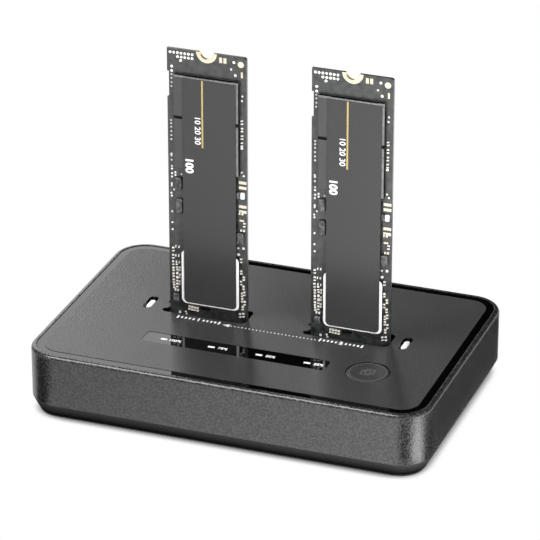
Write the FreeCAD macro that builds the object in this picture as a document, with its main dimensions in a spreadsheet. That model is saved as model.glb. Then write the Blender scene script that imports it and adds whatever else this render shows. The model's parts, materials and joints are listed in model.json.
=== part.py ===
import FreeCAD, Part
import Sketcher
import math
import os
import re

# A desktop duplicator for two M.2 2280 drives that stand upright in its top.
# Millimetres, +Z up, +X to the right and +Y to the rear. The origin is on the
# table under the middle of the case.

doc = FreeCAD.newDocument("DriveDuplicator")
vector = FreeCAD.Vector

# Driving dimensions, one row each in the sheet
dimensions = [
    # Case
    ("caseLength", 110, "case along X"),
    ("caseDepth", 73.5, "case along Y"),
    ("caseTop", 18.5, "height of the rim over the table"),
    ("cornerRadius", 8.7, "corner of the case in plan"),
    ("caseWall", 2, "side wall"),
    ("topWall", 1.6, "wall under the gloss panel"),
    ("rimWidth", 1.4, "rim round the gloss panel"),
    ("rimFillet", 1, "rounded outer edge of the rim"),
    ("rimDrop", 0.05, "film below the rim"),
    ("fitGap", 0.1, "clearance of parts that fit in each other"),
    ("bossRadius", 3, "screw boss"),
    ("caseBossInset", 8.5, "corner screws in from the sides of the case"),
    # Bottom cover and feet
    ("footProud", 0.8, "feet below the cover"),
    ("footRadius", 4.5, "rubber foot"),
    ("footInset", 11, "feet in from the ends of the case"),
    ("footY", 17, "feet from the middle, along Y"),
    ("coverHeight", 3.4, "tapered edge of the cover"),
    ("coverFloor", 2, "floor of the cover inside"),
    ("coverInset", 1.7, "how far the taper draws the edge in"),
    ("lipHeight", 1.6, "lip that locates the cover in the case"),
    ("lipWall", 1.2, "lip thickness"),
    # Panel
    ("glossThick", 1.5, "glossy plate"),
    ("filmThick", 0.1, "matte film"),
    ("bandWidth", 2.1, "glossy band seen round the film"),
    # Drive slots
    ("driveOneX", -17.25, "middle of the left drive"),
    ("driveTwoX", 22.5, "middle of the right drive"),
    ("driveY", 1.45, "front face of the drive boards"),
    ("slotLength", 23.8, "slot along X"),
    ("slotWidth", 7.8, "slot along Y"),
    ("slotCorner", 1.3, "corner of the slot"),
    ("slotShift", -0.6, "slot from the middle of its drive"),
    ("slotAhead", 2.45, "middle of the slots along Y"),
    ("wallBack", 0.3, "opening in the top wall outside the slot in the panel"),
    ("tabRadius", 1.9, "half-round tab at the left of each slot"),
    ("tabReach", 1.4, "how far the tab stands into the slot"),
    ("tabAhead", 2.1, "middle of the tab along Y"),
    # Lights
    ("statusOneX", -34.2, "left status light"),
    ("statusTwoX", 37.45, "right status light"),
    ("statusY", 2.4, "status lights along Y"),
    ("recessWidth", 2.5, "black recess round a status light"),
    ("recessLength", 7.1, "the recess along Y"),
    ("pipeWidth", 1.4, "light pipe"),
    ("pipeLength", 4.5, "light pipe along Y"),
    ("pipeDrop", 0.45, "top of the light pipe below the film"),
    ("pipeCollar", 0.7, "collar that holds the pipe under the top wall"),
    ("collarThick", 1, "thickness of that collar"),
    ("windowLength", 51, "progress window"),
    ("windowWidth", 5.9, "progress window along Y"),
    ("windowCorner", 1.3, "corner of the window"),
    ("windowX", -2.8, "middle of the window"),
    ("windowY", -16.68, "middle of the window along Y"),
    ("barFirstX", -22.8, "first progress bar"),
    ("barPitch", 13.25, "from one progress bar to the next"),
    ("barLength", 1.75, "progress bar"),
    ("barWidth", 0.75, "progress bar along Y"),
    ("barCount", 4, "progress bars"),
    ("guideDepth", 2.4, "light guide along Y"),
    ("guideThick", 1.5, "light guide under the top wall"),
    ("guideLeg", 2.2, "leg of the light guide over its LED"),
    ("ledGap", 0.3, "from an LED to the guide over it"),
    ("ledLength", 1.6, "LED"),
    ("ledWidth", 0.8, "LED along Y"),
    ("ledHeight", 0.8, "LED height"),
    # Copy button
    ("copyX", 33.5, "copy button"),
    ("copyY", -16.45, "copy button along Y"),
    ("copyRadius", 5.6, "cap of the copy button"),
    ("buttonGap", 0.2, "gap round a button"),
    ("capBevelWidth", 0.45, "bevel round the cap"),
    ("capBevelDeep", 0.15, "drop of that bevel"),
    ("capThick", 1.6, "crown of the cap"),
    ("capWall", 1.1, "skirt of the cap"),
    ("flangeReach", 1, "flange that keeps the cap in"),
    ("flangeThick", 0.9, "thickness of that flange"),
    ("copyTravel", 0.5, "travel of the copy button"),
    ("switchSide", 6, "copy switch"),
    ("switchHeight", 3.5, "copy switch height"),
    ("switchBore", 1.9, "hole for the plunger"),
    ("plungerRadius", 1.75, "plunger of the copy switch"),
    # Main board
    ("boardTop", 8.6, "component side over the table"),
    ("boardThick", 1.6, "main board"),
    ("boardSideGap", 11, "ends of the board in from the side walls"),
    ("boardFrontGap", 4.75, "front edge of the board behind the front wall"),
    ("boardRearGap", 1.55, "rear edge of the board before the rear wall"),
    ("boardBossInset", 4, "board screws in from the edges of the board"),
    ("screwRadius", 1.3, "screw shaft"),
    ("screwGap", 0.05, "round a screw shaft"),
    ("screwHeadRadius", 2.4, "screw head"),
    ("screwHeadThick", 1.2, "screw head thickness"),
    ("screwGrip", 5, "screw length in its boss"),
    # M.2 sockets
    ("socketLength", 21.9, "socket along X"),
    ("socketDepth", 4, "socket along Y"),
    ("socketHeight", 8.25, "socket over the board"),
    ("socketSlotLength", 20.15, "card slot in the socket"),
    ("socketSlotWidth", 1.1, "card slot along Y"),
    ("socketSlotDeep", 3.95, "depth of the card slot"),
    ("socketChamfer", 0.35, "lead-in of the card slot"),
    ("tailWidth", 0.3, "solder tail"),
    ("tailReach", 0.9, "solder tail outside the socket"),
    ("tailThick", 0.2, "solder tail thickness"),
    ("tailPitch", 1.5, "from one tail to the next"),
    ("tailCount", 13, "tails along one side"),
    # Rear connectors
    ("usbX", 20, "USB-C receptacle"),
    ("usbWidth", 8.94, "shell width"),
    ("usbHeight", 3.26, "shell height"),
    ("usbSheet", 0.3, "shell sheet"),
    ("usbLength", 7.6, "shell along Y"),
    ("usbMouth", 6.2, "depth of the mouth"),
    ("usbSunk", 0.9, "mouth behind the outer wall"),
    ("tongueWidth", 6.7, "tongue"),
    ("tongueThick", 0.7, "tongue thickness"),
    ("tongueLength", 4.8, "tongue length"),
    ("powerInX", -30, "DC inlet"),
    ("powerInRaise", 0.4, "inlet axis over the board"),
    ("inletWidth", 9, "inlet body"),
    ("inletHeight", 10.4, "inlet body height"),
    ("inletLength", 12.6, "inlet body along Y"),
    ("inletCollar", 4, "collar radius"),
    ("inletSunk", 0.6, "collar behind the outer wall"),
    ("inletBore", 3.15, "bore of the inlet"),
    ("inletDeep", 9.5, "depth of the bore"),
    ("inletPin", 1, "centre pin radius"),
    ("inletPinLength", 8.7, "centre pin length"),
    ("inletMargin", 0.25, "board notch round the inlet"),
    # Power button
    ("powerX", -10, "power button"),
    ("powerRaise", 3.3, "button axis over the board"),
    ("powerRadius", 2.4, "power button cap"),
    ("powerSunk", 0.1, "cap behind the outer wall"),
    ("powerDish", 0.6, "dish round the cap"),
    ("powerDishReach", 0.9, "width of the dish"),
    ("powerCapDeep", 3.2, "cap along Y"),
    ("powerFlange", 0.5, "flange round the cap"),
    ("powerTravel", 1.5, "travel of the power button"),
    ("pushSide", 7, "power switch width"),
    ("pushHeight", 6, "power switch height"),
    ("pushDepth", 7.4, "power switch along Y"),
    ("pushBore", 1.6, "half width of the plunger hole"),
    ("pushPlunger", 1.45, "half width of the plunger"),
    ("pushProud", 4.8, "plunger out of the switch"),
    ("pushHidden", 1.8, "plunger inside the switch"),
    # Parts on the board
    ("supplyInset", 8.7, "inductors and power capacitors in from the rear edge"),
    ("bridgeSide", 9, "bridge chip"),
    ("bridgeThick", 0.9, "bridge chip thickness"),
    ("bridgeFirstX", -9, "first bridge chip"),
    ("bridgePitch", 21, "to the second bridge chip"),
    ("bridgeY", 13.5, "bridge chips along Y"),
    ("controlSide", 7, "control chip"),
    ("controlX", 2.6, "control chip along X"),
    ("controlY", -6.5, "control chip along Y"),
    ("coilSide", 5, "inductor"),
    ("coilHeight", 3, "inductor height"),
    ("coilFirstX", -1.5, "first inductor"),
    ("coilPitch", 9, "to the second inductor"),
    ("canRadius", 3.15, "power capacitor"),
    ("canHeight", 5.4, "power capacitor height"),
    ("canFirstX", -20, "first power capacitor"),
    ("canPitch", 47.5, "to the second power capacitor"),
    ("crystalLength", 3.2, "crystal"),
    ("crystalWidth", 2.5, "crystal along Y"),
    ("crystalHeight", 0.8, "crystal height"),
    ("crystalX", 1.5, "crystal along X"),
    ("crystalY", 8, "crystal along Y"),
    # M.2 drive, with its heights counted from its lower edge
    ("cardWidth", 22, "card"),
    ("cardLength", 80, "card length"),
    ("cardThick", 0.8, "card board"),
    ("cardTabWidth", 19.85, "edge that enters the socket"),
    ("cardTabLength", 4, "length of that edge"),
    ("cardCorner", 0.8, "rounded upper corner"),
    ("seatGap", 0.1, "card over the socket floor"),
    ("keyWidth", 1.2, "key notch"),
    ("keyHeight", 3.5, "key notch height"),
    ("keyX", -6.1, "key notch from the middle"),
    ("sideNotchDeep", 0.5, "shallow notch in the left edge"),
    ("sideNotchLength", 7.2, "its length"),
    ("sideNotchTop", 6.4, "its upper end below the top edge"),
    ("padRadius", 2.85, "gold pad of the half hole"),
    ("holeRadius", 1.9, "half hole, clear"),
    ("barrelThick", 0.12, "plated barrel"),
    ("goldThick", 0.05, "gold over the board"),
    ("fingerWidth", 0.34, "edge finger"),
    ("fingerPitch", 0.5, "from one finger to the next"),
    ("fingerLength", 2.4, "edge finger length"),
    ("fingerLift", 0.4, "fingers over the lower edge"),
    ("fingersLeft", 5, "fingers left of the key"),
    ("fingersRight", 30, "fingers right of the key"),
    ("packageThick", 1, "height of the chips"),
    ("packageWidth", 18, "flash package"),
    ("upperFlashLength", 11.5, "upper flash package"),
    ("upperFlashTop", 6.8, "its upper edge below the top of the card"),
    ("lowerFlashLength", 14, "lower flash package"),
    ("flashGap", 0.9, "between the flash packages"),
    ("memoryWidth", 11, "memory chip"),
    ("memoryLength", 14, "memory chip length"),
    ("controllerWidth", 16.2, "controller"),
    ("controllerLength", 15.6, "its length"),
    ("controllerFoot", 7.9, "controller over the lower edge"),
    ("controllerX", 0.9, "controller from the middle of the card"),
    ("controllerCorner", 1.5, "rounded corner of its lid"),
    ("labelWidth", 14.7, "label"),
    ("labelThick", 0.12, "label thickness"),
    ("labelCorner", 1.2, "rounded corner of the label"),
    ("labelRim", 0.35, "lid showing below the label"),
    ("capacitorWidth", 1, "ceramic capacitor"),
    ("capacitorLength", 0.6, "capacitor length"),
    ("capacitorThick", 0.5, "capacitor height"),
    ("leftColumnX", -9.2, "left column from the middle"),
    ("leftColumnFoot", 7.5, "left column over the lower edge"),
    ("leftColumnPitch", 1.6, "left column"),
    ("leftColumnCount", 9, "left column"),
    ("rightColumnX", 9.8, "right column from the middle"),
    ("rightColumnFoot", 6.5, "right column over the lower edge"),
    ("rightColumnPitch", 1.75, "right column"),
    ("rightColumnCount", 12, "right column"),
    ("bigPadWidth", 2.1, "gold pad in the right column"),
    ("bigPadLength", 0.8, "its length"),
    ("bigPadPitch", 1.45, "from one gold pad to the next"),
    ("bigPadCount", 2, "gold pads in a group"),
    ("bigPadGroup", 5.4, "from one group to the next"),
    ("bigPadTop", 35.1, "first gold pad below the top of the card"),
    ("topPadX", 3.9, "pads beside the half hole"),
    ("topPadPitch", 1.15, "from one to the other"),
    ("topPadWidth", 0.8, "their width"),
    ("topPadLength", 1.5, "their length"),
    ("topPadDrop", 1.5, "their middle below the top"),
    ("roundPadX", 9.4, "round pad"),
    ("roundPadDrop", 2, "its middle below the top"),
    ("roundPadRadius", 0.85, "round pad radius"),
]

sheet = doc.addObject("Spreadsheet::Sheet", "Sizes")
for row, (alias, number, note) in enumerate(dimensions, start=1):
    sheet.set("A%d" % row, note)
    sheet.set("B%d" % row, str(number))
    sheet.setAlias("B%d" % row, alias)
doc.recompute()
aliases = {alias for alias, number, note in dimensions}


def bound(formula):
    """Write a formula on the plain names as an expression on the sheet."""
    def onSheet(found):
        word = found.group(0)
        return "Sizes." + word if word in aliases else word
    return re.sub(r"[A-Za-z]+", onSheet, str(formula))


def value(formula):
    """Number that a formula has now."""
    return float(sheet.evalExpression(bound(formula)))


def bind(thing, prop, formula):
    thing.setExpression(prop, bound(formula))


# Heights and places that several pieces share
boardBottom = "(boardTop - boardThick)"
filmTop = "(caseTop - rimDrop)"
glossTop = "(caseTop - rimDrop - filmThick)"
glossBottom = "(caseTop - rimDrop - filmThick - glossThick)"
ceiling = "(caseTop - rimDrop - filmThick - glossThick - topWall)"
coverTop = "(footProud + coverHeight)"
glossLength = "(caseLength - 2*rimWidth - 2*fitGap)"
glossDepth = "(caseDepth - 2*rimWidth - 2*fitGap)"
filmLength = "(caseLength - 2*rimWidth - 2*fitGap - 2*bandWidth)"
filmDepth = "(caseDepth - 2*rimWidth - 2*fitGap - 2*bandWidth)"
innerRear = "(caseDepth/2 - caseWall)"
boardLength = "(caseLength - 2*caseWall - 2*boardSideGap)"
boardFront = "(caseDepth/2 - caseWall - boardFrontGap)"
boardRear = "(caseDepth/2 - caseWall - boardRearGap)"
supplyY = boardRear + " - supplyInset"
powerInZ = "(boardTop + powerInRaise)"
powerZ = "(boardTop + powerRaise)"
usbZ = "(boardTop + usbHeight/2)"
pushFront = "(caseDepth/2 - powerSunk - powerCapDeep - pushProud)"
cardFoot = "(boardTop + socketHeight - socketSlotDeep + seatGap)"
controllerTop = "(controllerFoot + controllerLength)"
lowerFlashFoot = "(cardLength - upperFlashTop - upperFlashLength - flashGap - lowerFlashLength)"
driveXs = ["driveOneX", "driveTwoX"]
statusXs = ["statusOneX", "statusTwoX"]
caseCorners = [(sideX + "(caseLength/2 - caseBossInset)", sideY + "(caseDepth/2 - caseBossInset)")
               for sideX in ("-", "") for sideY in ("-", "")]
boardScrews = [("-(%s/2 - boardBossInset)" % boardLength, "-(%s - boardBossInset)" % boardFront),
               ("(%s/2 - boardBossInset)" % boardLength, "(%s - boardBossInset)" % boardRear)]


# Sketch and feature helpers
def newBody(label):
    body = doc.addObject("PartDesign::Body", label)
    body.Label = label
    body.AllowCompound = True
    return body


def place(thing, x="0", y="0", z="0"):
    bind(thing, "Placement.Base.x", x)
    bind(thing, "Placement.Base.y", y)
    bind(thing, "Placement.Base.z", z)


def originPart(body, role):
    return [part for part in body.Origin.OriginFeatures if part.Role == role][0]


def newSketch(body, x, y, z, plane="XY_Plane"):
    """Sketch whose own origin stands at x, y, z of the body."""
    sketch = body.newObject("Sketcher::SketchObject", body.Name + "Sketch")
    sketch.AttachmentSupport = [(originPart(body, plane), "")]
    sketch.MapMode = "FlatFace"
    across, up, out = (x, y, z) if plane == "XY_Plane" else (x, z, "-(%s)" % y)
    bind(sketch, "AttachmentOffset.Base.x", across)
    bind(sketch, "AttachmentOffset.Base.y", up)
    bind(sketch, "AttachmentOffset.Base.z", out)
    return sketch


def drive(sketch, name, formula, kind, *where):
    """Add a named dimension to a sketch and bind it to the sheet."""
    index = sketch.addConstraint(Sketcher.Constraint(kind, *where, value(formula)))
    sketch.renameConstraint(index, name)
    bind(sketch, "Constraints." + name, formula)


def rectangle(body, width, height, x="0", y="0", z="0", plane="XY_Plane"):
    """Plain rectangle about the sketch's origin."""
    sketch = newSketch(body, x, y, z, plane)
    a, b = value(width)/2, value(height)/2
    corners = [vector(-a, -b, 0), vector(a, -b, 0), vector(a, b, 0), vector(-a, b, 0)]
    for side in range(4):
        sketch.addGeometry(Part.LineSegment(corners[side], corners[(side + 1) % 4]), False)
    for side in range(4):
        sketch.addConstraint(Sketcher.Constraint("Coincident", side, 2, (side + 1) % 4, 1))
    for side, kind in enumerate(["Horizontal", "Vertical", "Horizontal", "Vertical"]):
        sketch.addConstraint(Sketcher.Constraint(kind, side))
    sketch.addConstraint(Sketcher.Constraint("Symmetric", 0, 1, 2, 1, -1, 1))
    drive(sketch, "width", width, "DistanceX", 0, 1, 0, 2)
    drive(sketch, "height", height, "DistanceY", 1, 1, 1, 2)
    return sketch


def roundedRectangle(body, width, height, radius, x="0", y="0", z="0", plane="XY_Plane"):
    """Rectangle with round corners about the sketch's origin."""
    sketch = newSketch(body, x, y, z, plane)
    a, b, r = value(width)/2, value(height)/2, value(radius)
    middles = [vector(a - r, -b + r, 0), vector(a - r, b - r, 0),
               vector(-a + r, b - r, 0), vector(-a + r, -b + r, 0)]
    for corner, middle in enumerate(middles):
        start = math.radians(90*corner - 90)
        circle = Part.Circle(middle, vector(0, 0, 1), r)
        sketch.addGeometry(Part.ArcOfCircle(circle, start, start + math.pi/2), False)
    for corner in range(4):
        first = sketch.Geometry[corner].EndPoint
        second = sketch.Geometry[(corner + 1) % 4].StartPoint
        sketch.addGeometry(Part.LineSegment(first, second), False)
    for corner in range(4):
        line = 4 + corner
        sketch.addConstraint(Sketcher.Constraint("Tangent", corner, 2, line, 1))
        sketch.addConstraint(Sketcher.Constraint("Tangent", line, 2, (corner + 1) % 4, 1))
        kind = "Vertical" if corner % 2 == 0 else "Horizontal"
        sketch.addConstraint(Sketcher.Constraint(kind, line))
    for corner in range(1, 4):
        sketch.addConstraint(Sketcher.Constraint("Equal", 0, corner))
    sketch.addConstraint(Sketcher.Constraint("Symmetric", 0, 3, 2, 3, -1, 1))
    drive(sketch, "radius", radius, "Radius", 0)
    drive(sketch, "width", width, "DistanceX", 6, 1, 4, 1)
    drive(sketch, "height", height, "DistanceY", 7, 1, 5, 1)
    return sketch


def stadium(body, length, width, upright, x="0", y="0", z="0", plane="XY_Plane"):
    """Slot with round ends about the sketch's origin, upright along the second axis."""
    sketch = newSketch(body, x, y, z, plane)
    half, r = (value(length) - value(width))/2, value(width)/2
    quarter = math.pi/2 if upright else 0
    ends = [vector(0, half, 0), vector(0, -half, 0)]
    if not upright:
        ends = [vector(half, 0, 0), vector(-half, 0, 0)]
    for end, middle in enumerate(ends):
        start = quarter - math.pi/2 + math.pi*end
        circle = Part.Circle(middle, vector(0, 0, 1), r)
        sketch.addGeometry(Part.ArcOfCircle(circle, start, start + math.pi), False)
    for end in range(2):
        first = sketch.Geometry[end].EndPoint
        second = sketch.Geometry[1 - end].StartPoint
        sketch.addGeometry(Part.LineSegment(first, second), False)
    for end in range(2):
        sketch.addConstraint(Sketcher.Constraint("Tangent", end, 2, 2 + end, 1))
        sketch.addConstraint(Sketcher.Constraint("Tangent", 2 + end, 2, 1 - end, 1))
        kind = "Vertical" if upright else "Horizontal"
        sketch.addConstraint(Sketcher.Constraint(kind, 2 + end))
    sketch.addConstraint(Sketcher.Constraint("Symmetric", 0, 3, 1, 3, -1, 1))
    drive(sketch, "radius", "(%s)/2" % width, "Radius", 0)
    direction = "DistanceY" if upright else "DistanceX"
    drive(sketch, "between", "(%s) - (%s)" % (length, width), direction, 1, 3, 0, 3)
    return sketch


def circle(body, radius, x="0", y="0", z="0", plane="XY_Plane"):
    """Circle about the sketch's origin."""
    sketch = newSketch(body, x, y, z, plane)
    round1 = Part.Circle(vector(0, 0, 0), vector(0, 0, 1), value(radius))
    sketch.addGeometry(round1, False)
    sketch.addConstraint(Sketcher.Constraint("Coincident", 0, 3, -1, 1))
    drive(sketch, "radius", radius, "Radius", 0)
    return sketch


def pad(body, sketch, length, back=False):
    """Add the sketch's area along its normal, or against it."""
    feature = body.newObject("PartDesign::Pad", body.Name + "Pad")
    feature.Profile = sketch
    feature.Reversed = back
    bind(feature, "Length", length)
    return feature


def pocket(body, sketch, length, back=False):
    """Cut the sketch's area against its normal, or along it."""
    feature = body.newObject("PartDesign::Pocket", body.Name + "Pocket")
    feature.Profile = sketch
    feature.Reversed = back
    bind(feature, "Length", length)
    return feature


def row(body, original, role, pitch, count):
    """Repeat a feature along an axis of the body."""
    pattern = body.newObject("PartDesign::LinearPattern", body.Name + "Row")
    pattern.Originals = [original]
    pattern.Direction = (originPart(body, role), [""])
    pattern.Mode = "Spacing"
    bind(pattern, "Offset", pitch)
    bind(pattern, "Occurrences", count)
    body.Tip = pattern
    return pattern


def turned(body, points, angle="360", plane="XY_Plane", axis="V_Axis", back=False,
           x="0", y="0", z="0"):
    """Turn an outline of points, each a pair of formulas, round an axis of its sketch."""
    sketch = newSketch(body, x, y, z, plane)
    spots = [vector(value(across), value(up), 0) for across, up in points]
    count = len(spots)
    for corner in range(count):
        line = Part.LineSegment(spots[corner], spots[(corner + 1) % count])
        sketch.addGeometry(line, False)
    for corner, (across, up) in enumerate(points):
        sketch.addConstraint(Sketcher.Constraint("Coincident", corner, 2, (corner + 1) % count, 1))
        for kind, formula in (("DistanceX", across), ("DistanceY", up)):
            if abs(value(formula)) < 1e-9:
                index = 2 if kind == "DistanceX" else 1
                sketch.addConstraint(Sketcher.Constraint("PointOnObject", corner, 1, -index))
            else:
                drive(sketch, "%s%d" % (kind[-1].lower(), corner), formula, kind, -1, 1, corner, 1)
    feature = body.newObject("PartDesign::Revolution", body.Name + "Revolution")
    feature.Profile = sketch
    feature.ReferenceAxis = (sketch, [axis])
    feature.Reversed = back
    bind(feature, "Angle", angle)
    return feature


def box(label, length, width, height, x, y, z):
    """Block centred on x and y, standing on z."""
    block = doc.addObject("Part::Box", label)
    bind(block, "Length", length)
    bind(block, "Width", width)
    bind(block, "Height", height)
    place(block, "%s - (%s)/2" % (x, length), "%s - (%s)/2" % (y, width), z)
    return block


def edgesWhere(feature, test):
    """Names of the feature's edges for which the test holds."""
    doc.recompute()
    names = []
    for number, edge in enumerate(feature.Shape.Edges, start=1):
        if test(edge):
            names.append("Edge%d" % number)
    return names


def near(first, second):
    return abs(first - second) < 1e-4


def flatAt(edge, height):
    bounds = edge.BoundBox
    return near(bounds.ZMin, height) and near(bounds.ZMax, height)


parts = []


def keep(thing):
    parts.append(thing)
    return thing


# Openings that the gloss panel and the film share
def cutSlots(body, top, thick):
    for driveX in driveXs:
        slotX = driveX + " + slotShift"
        pocket(body, roundedRectangle(body, "slotLength", "slotWidth", "slotCorner",
                                      slotX, "slotAhead", top), thick)
        tabX = slotX + " - slotLength/2 + tabReach - tabRadius"
        pad(body, circle(body, "tabRadius", tabX, "tabAhead", top), thick, back=True)


def cutStatusHoles(body, top, thick):
    for statusX in statusXs:
        recess = stadium(body, "recessLength", "recessWidth", True, statusX, "statusY", top)
        pocket(body, recess, thick)


def cutCopyHole(body, top, thick):
    pocket(body, circle(body, "copyRadius + buttonGap", "copyX", "copyY", top), thick)


def cutBarHoles(body, top, thick):
    opening = rectangle(body, "barLength + 2*fitGap", "barWidth + 2*fitGap",
                        "barFirstX", "windowY", top)
    row(body, pocket(body, opening, thick), "X_Axis", "barPitch", "barCount")


# Upper case: a shell that is open below, with a recess for the panel
def upperCase():
    body = newBody("upper_case")
    outline = roundedRectangle(body, "caseLength", "caseDepth", "cornerRadius", z=coverTop)
    block = pad(body, outline, "caseTop - %s" % coverTop)
    rimEdges = edgesWhere(block, lambda edge: flatAt(edge, value("caseTop")))
    rim = body.newObject("PartDesign::Fillet", "RimFillet")
    rim.Base = (block, rimEdges)
    bind(rim, "Radius", "rimFillet")
    recess = roundedRectangle(body, "caseLength - 2*rimWidth", "caseDepth - 2*rimWidth",
                              "cornerRadius - rimWidth", z="caseTop")
    pocket(body, recess, "caseTop - %s" % glossBottom)
    cavity = roundedRectangle(body, "caseLength - 2*caseWall", "caseDepth - 2*caseWall",
                              "cornerRadius - caseWall", z=coverTop)
    pocket(body, cavity, "%s - %s" % (ceiling, coverTop), back=True)
    # The top wall below the panel has plain square openings
    for driveX in driveXs:
        opening = rectangle(body, "slotLength + 2*wallBack", "slotWidth + 2*wallBack",
                            driveX + " + slotShift", "slotAhead", glossBottom)
        pocket(body, opening, "topWall")
    for statusX in statusXs:
        opening = rectangle(body, "pipeWidth + 2*fitGap", "pipeLength + 2*fitGap",
                            statusX, "statusY", glossBottom)
        pocket(body, opening, "topWall")
    cutBarHoles(body, glossBottom, "topWall")
    cutCopyHole(body, glossBottom, "topWall")
    # Bosses for the case screws and the board screws
    bosses = [(bossX, bossY, coverTop) for bossX, bossY in caseCorners]
    bosses += [(bossX, bossY, "boardTop") for bossX, bossY in boardScrews]
    for bossX, bossY, foot in bosses:
        pad(body, circle(body, "bossRadius", bossX, bossY, foot), "%s - %s" % (ceiling, foot))
        pilot = circle(body, "screwRadius + screwGap", bossX, bossY, foot)
        pocket(body, pilot, "screwGrip + fitGap", back=True)
    # Openings in the rear wall
    inside = "%s - fitGap" % innerRear
    through = "caseWall + 2*fitGap"
    usb = stadium(body, "usbWidth + 4*fitGap", "usbHeight + 4*fitGap", False,
                  "usbX", inside, usbZ, "XZ_Plane")
    pocket(body, usb, through)
    inlet = circle(body, "inletCollar + fitGap", "powerInX", inside, powerInZ, "XZ_Plane")
    pocket(body, inlet, through)
    power = circle(body, "powerRadius + buttonGap", "powerX", inside, powerZ, "XZ_Plane")
    pocket(body, power, through)
    dish = circle(body, "powerRadius + powerDishReach", "powerX",
                  "caseDepth/2 - powerDish", powerZ, "XZ_Plane")
    pocket(body, dish, "powerDish + fitGap")
    return keep(body)


# Bottom cover: a tray with a tapered edge, a locating lip, a gap for the DC inlet, and a
# seat with a screw hole under each corner boss of the case
def bottomCover():
    body = newBody("bottom_cover")
    low = roundedRectangle(body, "caseLength - 2*coverInset", "caseDepth - 2*coverInset",
                           "cornerRadius - coverInset", z="footProud")
    high = roundedRectangle(body, "caseLength", "caseDepth", "cornerRadius", z=coverTop)
    taper = body.newObject("PartDesign::AdditiveLoft", "CoverTaper")
    taper.Profile = low
    taper.Sections = [high]
    taper.Ruled = True
    lipOuter = "2*caseWall + 2*fitGap"
    lipInner = "2*caseWall + 2*fitGap + 2*lipWall"
    lip = roundedRectangle(body, "caseLength - (%s)" % lipOuter, "caseDepth - (%s)" % lipOuter,
                           "cornerRadius - caseWall - fitGap", z=coverTop)
    pad(body, lip, "lipHeight")
    hollow = roundedRectangle(body, "caseLength - (%s)" % lipInner,
                              "caseDepth - (%s)" % lipInner,
                              "cornerRadius - caseWall - fitGap - lipWall",
                              z="%s + lipHeight" % coverTop)
    pocket(body, hollow, "lipHeight + coverHeight - coverFloor")
    gap = rectangle(body, "inletWidth + 2*inletMargin", "2*lipWall + 4*fitGap", "powerInX",
                    "%s - fitGap - lipWall" % innerRear, "%s + lipHeight" % coverTop)
    pocket(body, gap, "lipHeight + coverHeight - coverFloor")
    for bossX, bossY in caseCorners:
        seat = rectangle(body, "2*bossRadius", "2*bossRadius", bossX, bossY, coverTop)
        pad(body, seat, "coverHeight - coverFloor", back=True)
        hole = circle(body, "screwRadius + fitGap", bossX, bossY, coverTop)
        pocket(body, hole, "coverHeight")
        head = circle(body, "screwHeadRadius + fitGap", bossX, bossY, "footProud")
        pocket(body, head, "screwHeadThick", back=True)
    return keep(body)


# Glossy plate in the recess, seen as a band round the film and in the progress window
def glossPanel():
    body = newBody("gloss_panel")
    outline = roundedRectangle(body, glossLength, glossDepth,
                               "cornerRadius - rimWidth - fitGap", z=glossBottom)
    pad(body, outline, "glossThick")
    cutSlots(body, glossTop, "glossThick")
    cutStatusHoles(body, glossTop, "glossThick")
    cutBarHoles(body, glossTop, "glossThick")
    cutCopyHole(body, glossTop, "glossThick")
    return keep(body)


# Matte film on the glossy plate
def panelOverlay():
    body = newBody("panel_overlay")
    outline = roundedRectangle(body, filmLength, filmDepth,
                               "cornerRadius - rimWidth - fitGap - bandWidth", z=glossTop)
    pad(body, outline, "filmThick")
    cutSlots(body, filmTop, "filmThick")
    cutStatusHoles(body, filmTop, "filmThick")
    cutCopyHole(body, filmTop, "filmThick")
    window = roundedRectangle(body, "windowLength", "windowWidth", "windowCorner",
                              "windowX", "windowY", filmTop)
    pocket(body, window, "filmThick")
    return keep(body)


# Comb-shaped light guide: four bars reach up through the panel, four legs down to the LEDs
def progressLightGuide():
    body = newBody("progress_light_guide")
    span = "(barCount - 1)*barPitch"
    bar = rectangle(body, "%s + guideLeg" % span, "guideDepth",
                    "barFirstX + %s/2" % span, "windowY", "%s - guideThick" % ceiling)
    pad(body, bar, "guideThick")
    tip = rectangle(body, "barLength", "barWidth", "barFirstX", "windowY", ceiling)
    row(body, pad(body, tip, "topWall + glossThick"), "X_Axis", "barPitch", "barCount")
    leg = rectangle(body, "guideLeg", "guideDepth", "barFirstX", "windowY",
                    "boardTop + ledHeight + ledGap")
    legLength = "%s - guideThick - boardTop - ledHeight - ledGap" % ceiling
    row(body, pad(body, leg, legLength), "X_Axis", "barPitch", "barCount")
    return keep(body)


# Two light pipes, each held by a collar under the top wall
def statusLightPipes():
    body = newBody("status_light_pipes")
    for statusX in statusXs:
        foot = "boardTop + ledHeight + ledGap"
        stem = stadium(body, "pipeLength", "pipeWidth", True, statusX, "statusY", foot)
        pad(body, stem, "%s - pipeDrop - (%s)" % (filmTop, foot))
        collar = rectangle(body, "pipeWidth + 2*pipeCollar", "pipeLength + 2*pipeCollar",
                           statusX, "statusY", "%s - collarThick" % ceiling)
        pad(body, collar, "collarThick")
    return keep(body)


def leds():
    bars = newBody("progress_leds")
    first = rectangle(bars, "ledLength", "ledWidth", "barFirstX", "windowY", "boardTop")
    row(bars, pad(bars, first, "ledHeight"), "X_Axis", "barPitch", "barCount")
    keep(bars)
    states = newBody("status_leds")
    for statusX in statusXs:
        spot = rectangle(states, "ledWidth", "ledLength", statusX, "statusY", "boardTop")
        pad(states, spot, "ledHeight")
    keep(states)


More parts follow.
